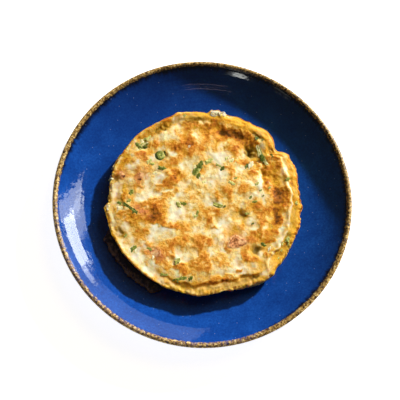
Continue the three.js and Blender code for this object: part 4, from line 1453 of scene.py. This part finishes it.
def turn_and_place(points, turn, middle):
    angle = math.radians(turn)
    across = np.array([math.cos(angle), math.sin(angle), 0])
    along = np.array([-math.sin(angle), math.cos(angle), 0])
    upright = np.array([0, 0, 1])
    return points @ np.stack([across, along, upright]) + np.array(middle)


def settle(points, middle_height, half_height, proud, sunk):
    """Lets a placed piece follow the egg: its top a little proud, its rim and underside sunk in."""
    settled = points.copy()
    for row, (x, y, z) in enumerate(points):
        egg_height = drop_onto_egg(x, y)[1]
        share = (z - middle_height) / half_height
        rise = (sunk + proud) if share > 0 else SUNK_UNDERSIDE
        settled[row, 2] = egg_height - sunk + rise * share
    return settled


def bareness(points, middle_height, half_height):
    """From 0 at a placed piece's rim, where egg laps over it, to 1 on its top."""
    return smoothstep((points[:, 2] - middle_height) / half_height, 0.0, 0.5)


def box_middle(node):
    low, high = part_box(node)
    return np.array((low + high) / 2) / MM


print("egg height in the middle, mm:", round(drop_onto_egg(0, 0)[1], 1))

# %% [markdown]
# What is fried into egg has egg lapped over its rim. The bareness of each point is stored on the
# piece, and the finish lets egg creep raggedly over where it is low, so that the piece looks set in
# and not laid on. The last helper makes the mesh, attaches it to the root, hides the solid it stands
# for and puts it with the food.


# %% Lap egg over the rim and make the piece
def lapped_by_egg(tree, color):
    ragged = sway(tree, grain(tree, 0.0020), 2.2)
    covered = calculate(tree, "SUBTRACT", ragged, vertex_value(tree, "bare"))
    egg = color_ramp(tree, grain(tree, 0.003), [(0.3, srgb(238, 194, 98)), (0.7, srgb(250, 232, 170))])
    return blend_colors(tree, remap(tree, covered, -0.55, -0.38), color, egg)


def make_piece(name, points, faces, material, values, node):
    mesh = bpy.data.meshes.new(name)
    mesh.from_pydata(points * MM, [], faces)
    store_values(mesh, values)
    mesh.materials.append(material)
    mesh.shade_smooth()
    piece = bpy.data.objects.new(name, mesh)
    bpy.context.scene.collection.objects.link(piece)
    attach(piece, "root")
    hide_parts(node)
    food.objects.link(piece)
    print(name + ":", len(mesh.polygons), "faces")


# %% [markdown]
# ## Flaked salmon
#
# Cooked salmon parts along thin curved sheets of muscle. The tops took heat from the pan, so a toast
# value browns the crests, and the creases between the sheets stay pale with fat. Both are stored on
# the points, because they follow the flake's own shape, and the finish turns them into colour.


# %% Mix the salmon
def salmon_finish(tree):
    fine = grain(tree, 0.0016, 3.0, roughness=0.6)
    flesh = color_ramp(
        tree,
        sway(tree, fine, 1.0, vertex_value(tree, "toast")),
        [
            (0.05, srgb(248, 208, 150)),
            (0.32, srgb(247, 202, 150)),
            (0.58, srgb(232, 166, 112)),
            (0.80, srgb(194, 120, 70)),
            (1.00, srgb(92, 48, 24)),
        ],
    )
    crease = calculate(tree, "MULTIPLY", vertex_value(tree, "crease"), 0.55)
    return {
        "Base Color": lapped_by_egg(tree, blend_colors(tree, crease, flesh, srgb(248, 222, 188))),
        "Roughness": 0.42,
        "Subsurface Weight": 0.15,
        "Subsurface Radius": (1.0, 0.5, 0.3),
        "Subsurface Scale": 0.002,
        "Normal": bumped(tree, fine, 0.0003, 0.6),
    }


salmon = new_material("cooked_salmon", salmon_finish)
print("nodes in the salmon's finish:", len(salmon.node_tree.nodes))

# %% [markdown]
# Four flakes lie in the top. A sawtooth along the flake's length gives the ledges of its sheets, bent
# into arcs by its width, and noise tears its outline. The front one is a wedge and stands proud, the
# others are nearly level with the egg.

# %% Lay the flakes
# node: turn, length, width, height, how toasted, taper, how proud
FLAKES = {
    "salmon_flake_front": (14, 15, 12, 6, 0.58, 0.62, 0.5),
    "salmon_flake_left": (62, 10.5, 7, 4.4, 0.6, 0.15, 0.1),
    "salmon_flake_far_left": (118, 9, 6, 4, 0.6, -0.15, 0.1),
    "salmon_flake_low": (150, 11, 8, 4.6, 0.55, 0.2, 0.2),
}
SHEET_THICKNESS = 2.6
FLAKE_SUNK = 0.25


def flake_shape(seed, length, width, height, toasted, taper):
    """Points and faces of a flake round its own middle, and its toast and crease values."""
    flake, faces = rounded_piece(length - 0.8, width - 0.8, height - 0.6, 84, 56)
    unit = flake / (np.linalg.norm(flake, axis=1)[:, None] + 0.01)
    wobble = noise_at(flake, 4.0, 2, 20 + seed)
    phase = (flake[:, 0] + 0.06 * flake[:, 1] ** 2 + 1.8 * wobble) / SHEET_THICKNESS
    saw = phase - np.floor(phase)
    rough = noise_at(flake, 1.8, 2, 30 + seed)
    outline = 0.9 * noise_at(flake * (1, 1, 0), 6.0, 1, 50 + seed)
    flake = flake * np.stack([1 + 0.12 * outline, 1 + 0.25 * outline, np.ones(len(flake))], axis=1)
    flake[:, 0] *= 1 - taper * flake[:, 1] / (width / 2)
    flake = flake + unit * (0.15 * (saw - 0.5) + 0.5 * wobble + 0.4 * rough)[:, None]
    toast = np.clip(toasted + 0.55 * wobble + 0.12 * (saw - 0.5) + 0.35 * rough, 0, 1)
    crease = bell(saw, 0.12) * smoothstep(-wobble, -0.2, 0.4)
    return flake, faces, {"toast": toast, "crease": crease}


for seed, (node, (turn, length, width, height, toasted, taper, proud)) in enumerate(FLAKES.items()):
    flake, faces, values = flake_shape(seed, length, width, height, toasted, taper)
    middle = box_middle(node)
    flake = turn_and_place(flake, turn, middle)
    values["bare"] = bareness(flake, middle[2], height / 2)
    flake = settle(flake, middle[2], height / 2, proud, FLAKE_SUNK)
    make_piece(node.replace("salmon", "flaked"), flake, faces, salmon, values, node)

# %% [markdown]
# ## Green onion and leek
#
# A cut of green onion is a stack of leaf layers seen from the side: dark green outside, yellow green
# between, nearly white inside. One ramp runs from dark (0) to white (1), and every piece stores its
# own tone. Fine fibres follow a piece's length, so the noise that draws them is fed with the piece's
# own length and width, stored on its points, and stretched along the length.


# %% Mix the green
def onion_finish(tree):
    along = calculate(tree, "MULTIPLY", vertex_value(tree, "along"), 0.25)
    pair = add_node(tree, "ShaderNodeCombineXYZ", None, {0: along, 1: vertex_value(tree, "across")})
    stretched = {"Vector": pair.outputs[0], "Scale": 2.6, "Detail": 3.0}
    fibres = add_node(tree, "ShaderNodeTexNoise", None, stretched).outputs["Fac"]
    tone = sway(tree, fibres, 0.4, vertex_value(tree, "tone"))
    leaf = color_ramp(
        tree,
        sway(tree, grain(tree, 0.0018), 0.8, tone),
        [
            (0.00, srgb(46, 58, 16)),
            (0.18, srgb(80, 98, 32)),
            (0.40, srgb(122, 136, 54)),
            (0.62, srgb(180, 182, 96)),
            (0.82, srgb(222, 220, 140)),
            (1.00, srgb(246, 240, 204)),
        ],
    )
    return {
        "Base Color": lapped_by_egg(tree, leaf),
        "Roughness": 0.4,
        "Specular IOR Level": 0.35,
        "Subsurface Weight": 0.15,
        "Subsurface Radius": (0.6, 1.0, 0.3),
        "Subsurface Scale": 0.0015,
        "Normal": bumped(tree, fibres, 0.0003, 0.6),
    }


green = new_material("green_onion", onion_finish)
print("nodes in the green's finish:", len(green.node_tree.nodes))

# %% [markdown]
# Each larger cut has a short list of tones that run across its width. The same list raises its leaf
# layers as low ribs, and the cut is bowed a little along its length, as a leaf is when it is sliced
# aslant. The long strip of leek slid down the slope of the lip while the egg set, so it lies a little
# off its packed place.

# %% Lay the larger cuts
# node: turn, length, width, height, bend, tones across
CUTS = {
    "onion_strip_back": (114, 23, 5.6, 4, 2.2, [0.05, 0.3, 0.85, 0.5, 0.95, 0.5, 0.2]),
    "onion_piece_middle": (55, 14, 7, 4, 1, [0.7, 0.5, 0.2, 0.3, 0.1]),
    "onion_piece_centre": (158, 10, 5, 3.6, 0.8, [0.05, 0.3, 0.45, 0.1]),
    "onion_piece_left": (35, 12, 6.4, 3.8, 1, [0.05, 0.35, 0.9, 0.5, 0.05]),
    "onion_strip_left": (144, 18, 4, 3, 0.8, [0.05, 0.1, 0.2, 0.6]),
}
# millimetres along x and y
SHIFTED = {"onion_strip_back": (6.0, -4.2)}
CUT_PROUD = 0.3
CUT_SUNK = 0.4


def bow(points, length, bend):
    bowed = points.copy()
    bowed[:, 1] += bend * (1 - (2 * points[:, 0] / length) ** 2) - bend / 2
    return bowed


def cut_shape(seed, length, width, height, bend, tones):
    """Points and faces of a cut round its own middle, and its tone, along and across values."""
    cut, faces = rounded_piece(length - 0.6, width - 0.6, height - 0.4, 90, 56)
    across = cut[:, 1] / width + 0.5
    along = cut[:, 0].copy()
    tone = np.interp(across, np.linspace(0, 1, len(tones)), tones) + 0.08
    layers = np.cos(2 * np.pi * across * (len(tones) - 1))
    wobble = noise_at(cut, 3.0, 2, 40 + seed)
    cut[:, 2] += np.where(cut[:, 2] > 0, 0.3 * layers + 0.6 * wobble, 0)
    cut[:, 1] += 0.9 * wobble
    values = {"tone": tone + 0.3 * wobble, "along": along, "across": across * width}
    return bow(cut, length, bend), faces, values


for seed, (node, (turn, length, width, height, bend, tones)) in enumerate(CUTS.items()):
    cut, faces, values = cut_shape(seed, length, width, height, bend, tones)
    middle = box_middle(node) + np.array([*SHIFTED.get(node, (0, 0)), 0])
    cut = turn_and_place(cut, turn, middle)
    values["bare"] = bareness(cut, middle[2], height / 2)
    cut = settle(cut, middle[2], height / 2, CUT_PROUD, CUT_SUNK)
    make_piece(node.replace("onion", "green"), cut, faces, green, values, node)

# %% [markdown]
# One slice was cut square across the stalk and lies flat as a ring. Its section is round and a little
# lumpy. It is dark green on its outer face and on the left, and paler inside and towards the right;
# that pale is partly the leaf's own colour and partly painted highlight. A Torus primitive would be as
# round, but its points would have to be found again to give them tones.

# %% Lay the ring
RING_RADIUS = 3.2
RING_TUBE = 1.45
RING_TURNS = 84
RING_SIDES = 30
RING_PROUD = 0.4
RING_SUNK = 0.3
ring_turn = np.repeat(np.arange(RING_TURNS) / RING_TURNS * 2 * np.pi, RING_SIDES)
ring_side = np.tile(-np.arange(RING_SIDES) / RING_SIDES * 2 * np.pi, RING_TURNS)
tube = RING_TUBE * (1 + 0.05 * np.cos(5 * ring_side) + 0.04 * np.sin(3 * ring_turn))
ring_reach = RING_RADIUS + tube * np.cos(ring_side)
ring = [ring_reach * np.cos(ring_turn), ring_reach * np.sin(ring_turn), tube * np.sin(ring_side)]
rows = np.arange(RING_TURNS * RING_SIDES).reshape(RING_TURNS, RING_SIDES)
next_rows = np.roll(rows, -1, axis=0)
ring_faces = np.concatenate([quads_between(a, b) for a, b in zip(rows, next_rows)]).tolist()

middle = box_middle("onion_ring")
placed = np.stack(ring, axis=1) + middle
ring_values = {
    # Paler inside and towards the right: partly the leaf's own colour, partly painted highlight.
    "tone": 0.34 - 0.32 * np.cos(ring_turn - math.radians(195)) - 0.2 * np.cos(ring_side),
    "along": ring_turn * RING_RADIUS,
    "across": ring_side * 1.4,
    "bare": bareness(placed, middle[2], RING_TUBE),
}
placed = settle(placed, middle[2], RING_TUBE, RING_PROUD, RING_SUNK)
make_piece("green_ring", placed, ring_faces, green, ring_values, "onion_ring")

# %% [markdown]
# ## Chopped greens
#
# Chopped bits lie all over the top, so one small bit is made once and a Geometry Nodes tree puts it
# on many points. Each point carries its turn, its size and its tone as attributes. The tree adds a
# slight random tilt from a fixed seed, then makes the instances real. A hair or particle system could
# scatter bits as well, but it would choose the places itself.


# %% Grow a tree that scatters
def scatter_tree():
    tree, given = begin_tree("scatter_bits", Bit="Object", Tilt="Float", Seed="Int")
    bit = add_node(tree, "GeometryNodeObjectInfo", None, {"Object": given["Bit"]})
    kind = {"data_type": "FLOAT_VECTOR"}
    turn = add_node(tree, "GeometryNodeInputNamedAttribute", kind, {"Name": "turn"}).outputs[0]
    size = add_node(tree, "GeometryNodeInputNamedAttribute", kind, {"Name": "size"}).outputs[0]
    limits = {0: (-1, -1, 0), 1: (1, 1, 0), "Seed": given["Seed"]}
    random = add_node(tree, "FunctionNodeRandomValue", kind, limits).outputs[0]
    tilt = vector_math(tree, "SCALE", random, scale=given["Tilt"])
    spots = {
        "Points": given["Geometry"],
        "Instance": bit.outputs["Geometry"],
        "Rotation": vector_math(tree, "ADD", turn, tilt),
        "Scale": size,
    }
    placed = add_node(tree, "GeometryNodeInstanceOnPoints", None, spots)
    return end_tree(tree, given, placed.outputs[0])


scatter = scatter_tree()
print("nodes in the scatter tree:", len(scatter.nodes))

# %% [markdown]
# The bit itself is one millimetre long and wide: a thin curled scrap with a ragged outline. Its
# instances are scaled to the sizes wanted. A ray cast down gives each point its height and slope, and
# a bit whose ray misses the egg is left out.

# %% Shape a bit and scatter it
LEAN_SHARE = 0.7


def shape_bit(name, thickness, curl, ragged):
    bit, faces = rounded_piece(1.0, 1.0, thickness, 20, 18)
    wobble = noise_at(bit * (2.4, 2.4, 1.0), 1.0, 2, 60)
    values = {"along": bit[:, 0] * 4, "across": bit[:, 1] * 4}
    bit[:, 2] += curl * (0.25 - bit[:, 1] ** 2 * 2) + 0.08 * wobble
    bit[:, :2] *= (1 + ragged * wobble)[:, None]
    values["bare"] = bareness(bit, 0, thickness / 2)
    mesh = bpy.data.meshes.new(name)
    mesh.from_pydata(bit * MM, [], faces)
    mesh.shade_smooth()
    store_values(mesh, values)
    return bpy.data.objects.new(name, mesh)


def scatter_points(name, rows, sunk):
    """An object with a point for each bit that lies on the egg, and what the tree reads there."""
    points, turns, scales, tones = [], [], [], []
    for x, y, length, width, turn, tone in rows:
        hit, egg_height, lean_x, lean_y = drop_onto_egg(x, y)
        if not hit:
            continue
        points.append((x * MM, y * MM, (egg_height - sunk) * MM))
        turns += [LEAN_SHARE * lean_x, LEAN_SHARE * lean_y, math.radians(turn)]
        scales += [1.25 * length, max(1.9 * width, 0.75 * length), 1.1 * min(length, width)]
        tones.append(tone + 0.17)
    mesh = bpy.data.meshes.new(name)
    mesh.from_pydata(points, [], [])
    mesh.attributes.new("turn", "FLOAT_VECTOR", "POINT").data.foreach_set("vector", turns)
    mesh.attributes.new("size", "FLOAT_VECTOR", "POINT").data.foreach_set("vector", scales)
    mesh.attributes.new("tone", "FLOAT", "POINT").data.foreach_set("value", tones)
    print(name + ":", len(points), "of", len(rows), "lie on the egg")
    return bpy.data.objects.new(name, mesh)


def scatter_bits(name, bit, rows, tilt, seed, material, sunk):
    """Turns rows of x, y, length, width, turn and tone into one piece of plain mesh."""
    source = scatter_points(name + "_points", rows, sunk)
    values = {"Bit": bit, "Tilt": tilt, "Seed": seed, "Material": material}
    piece = apply_tree(source, scatter, values, name)
    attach(piece, "root")
    food.objects.link(piece)
    return piece


leaf_bit = shape_bit("leaf_bit", thickness=0.34, curl=0.12, ragged=0.8)
print("faces of one bit:", len(leaf_bit.data.polygons))

# %% [markdown]
# Two lists say where the knife's work fell: greens, and the whites of the stalk. They are listed one
# by one, since the eye notices how such bits cluster round the larger cuts.

# %% Chop the greens
# x, y, length, width, turn, tone
CHOPPED = [
    (-37.2, 38.2, 4.2, 2.6, 0, 0.25), (-33.2, 40.0, 2.6, 1.6, 60, -0.1),
    (-56.5, 47.5, 5, 2.5, 100, 0.1), (-50, 45.5, 3.5, 2.5, 100, 0.15), (-47.5, 55, 6, 1.8, 20, 0.5),
    (-51, 54, 3, 1.5, 0, 0.5), (-47, 32.5, 3.5, 2.5, 0, 0.6), (-44.5, 30, 3, 2, -40, 0.4),
    (-35.5, 26, 6, 2.5, -38, 0.15), (-62.5, 4.2, 3.5, 2.5, 20, 0.3), (-2, 28.5, 6, 2.5, 50, 0.15),
    (-4, 18.5, 4, 2, 35, 0.2), (-15.5, 76, 4, 1.8, 50, 0.45), (5.5, 32.5, 6, 3, 0, 0.5),
    (14, 28.5, 4, 1.2, -50, 0.4), (17, 25, 4, 2.5, 15, 0.1), (21.5, 35.5, 3, 2, 0, 0.6),
    (39, 28, 3, 2.5, 0, 0.1), (50.5, 54, 7, 1.3, -25, 0.1), (54, 52.5, 2, 1.5, 0, 0.05),
    (53.5, 33, 8, 2.5, 100, 0.1), (61.5, 37, 3, 1.5, 90, 0.2), (28.5, 16, 2.5, 1.5, 0, 0.4),
    (25, 12, 5, 2, -50, 0.6), (47, 11, 3, 2, 0, 0.55), (58, 7.5, 2.2, 1.6, 0, 0.4),
    (50, 5, 2, 1, 0, 0.3), (-72, -5, 4, 1.8, -50, 0.1), (-58.5, -14, 5, 1.4, -25, 0.05),
    (-64.5, -3.5, 3, 2, 0, 0.35), (-21.5, -8, 4, 2.5, 80, 0.5), (-17.5, -6.5, 4, 2, -30, 0.2),
    (-5.5, -15.5, 4, 1.6, 55, 0.35), (-6.5, -17.5, 3.5, 1.6, 0, 0.6), (-67, -34.5, 2.5, 2, 0, 0.5),
    (-60, -45.5, 4, 3, 0, 0.2), (-46.5, -46, 4, 1.6, -50, 0.25), (-23, -57.2, 4.2, 3, 0, 0.45),
    (-34.5, -68, 5, 1.2, -25, 0.35), (-20, -72.5, 7, 1, -5, 0.25), (-12, -72, 3, 2, 0, 0.15),
    (-26, -73, 2, 1, 0, 0.3), (18, -9.8, 2, 1.4, 0, 0.1), (41, -1.5, 2.4, 1.4, 20, 0.3),
    (44, -5, 4, 1.5, -20, 0.25), (52, 0, 1.8, 1.2, 0, 0.4), (38, -15.5, 4, 1.2, 0, 0.35),
    (42, -25, 2, 1.2, 0, 0.1), (51, -43.5, 3.5, 2, 110, 0.1), (71.5, -38, 5, 3, 50, 0.3),
    (67, -42, 4, 1, 60, 0.5), (63.5, -54.5, 2.2, 1.2, 60, 0.5), (66, -48, 1.8, 1.2, 20, 0.4),
    (81, -5.5, 3, 1.8, 60, 0.4), (72.5, -42.5, 2, 1.2, 0, 0.4), (74, 15, 3, 2.4, 0, 0.35),
]
PALE_BITS = [
    (-53.5, 50, 5, 2.5, 70, 0.75), (-42, 22.5, 3, 2, 0, 0.8), (-12.5, 45.5, 3, 1.5, 0, 0.85),
    (25, 33, 4, 2.5, 0, 0.75), (42, 28.5, 4, 4, 0, 0.95), (1, 13.5, 3, 2, 0, 0.75),
    (-71, -9.5, 6, 3, -10, 0.85), (-57.5, -47, 3, 2, 0, 0.85), (55.5, -47, 2.2, 2.2, 0, 0.95),
    (32, -41.5, 2.6, 2.6, 0, 0.9), (-43, -52.5, 2, 3, 0, 0.85), (-7, 26, 3, 2, 40, 0.8),
]
greens = scatter_bits("chopped_greens", leaf_bit, CHOPPED, 0.12, 4, green, 0.1)
whites = scatter_bits("chopped_whites", leaf_bit, PALE_BITS, 0.15, 9, green, 0.25)
print("faces:", len(greens.data.polygons), len(whites.data.polygons))

# %% [markdown]
# ## Loose curd
#
# At the back a tuft of soft curd broke through the lip, and on the left a few crumbs of it cling to
# the edge. These are heaps of small lumps of the same egg, so the same tree scatters them, with the
# egg's finish. Their places are drawn from a random generator with a fixed seed.

# %% Scatter the curd
# middle x and y, spread along x and y, count, smallest and largest size
CURD_HEAPS = [
    (14.5, 77.2, 6.5, 2.0, 46, 0.8, 1.7),
    (9.5, 79.2, 1.4, 1.0, 9, 0.8, 1.4),
    (19.5, 78.4, 2.2, 1.2, 12, 0.8, 1.4),
    (-80.5, 20, 1.3, 4.5, 16, 0.7, 1.5),
    (-79, 31, 1.2, 3.5, 10, 0.7, 1.4),
    (-82.2, -8, 0.8, 3.0, 9, 0.7, 1.3),
]
CURD_PALER = 0.1
curd_random = np.random.default_rng(11)


def curd_rows(x, y, spread_x, spread_y, count, low, high):
    rows = []
    for _ in range(count):
        size = curd_random.uniform(low, high)
        at_x = x + spread_x * curd_random.uniform(-1, 1)
        at_y = y + spread_y * curd_random.uniform(-1, 1)
        length = size * curd_random.uniform(1.0, 1.6)
        turn = curd_random.uniform(0, 180)
        rows.append((at_x, at_y, length, size, turn, curd_random.uniform(0.0, 0.18)))
    return rows


curd = [row for heap in CURD_HEAPS for row in curd_rows(*heap)]
curd_bit = shape_bit("curd_bit", thickness=0.8, curl=0.1, ragged=0.35)
loose_curd = scatter_bits("loose_curd", curd_bit, curd, 0.5, 2, browned_egg, 0.3)
curd_tone = np.zeros(len(loose_curd.data.vertices), np.float32)
loose_curd.data.attributes["tone"].data.foreach_get("value", curd_tone)
store_values(loose_curd.data, {"done": curd_tone - CURD_PALER, "yolk_and_shade_gold": curd_tone})
for spare in (leaf_bit, curd_bit):
    bpy.data.objects.remove(spare)
print("faces:", len(loose_curd.data.polygons))
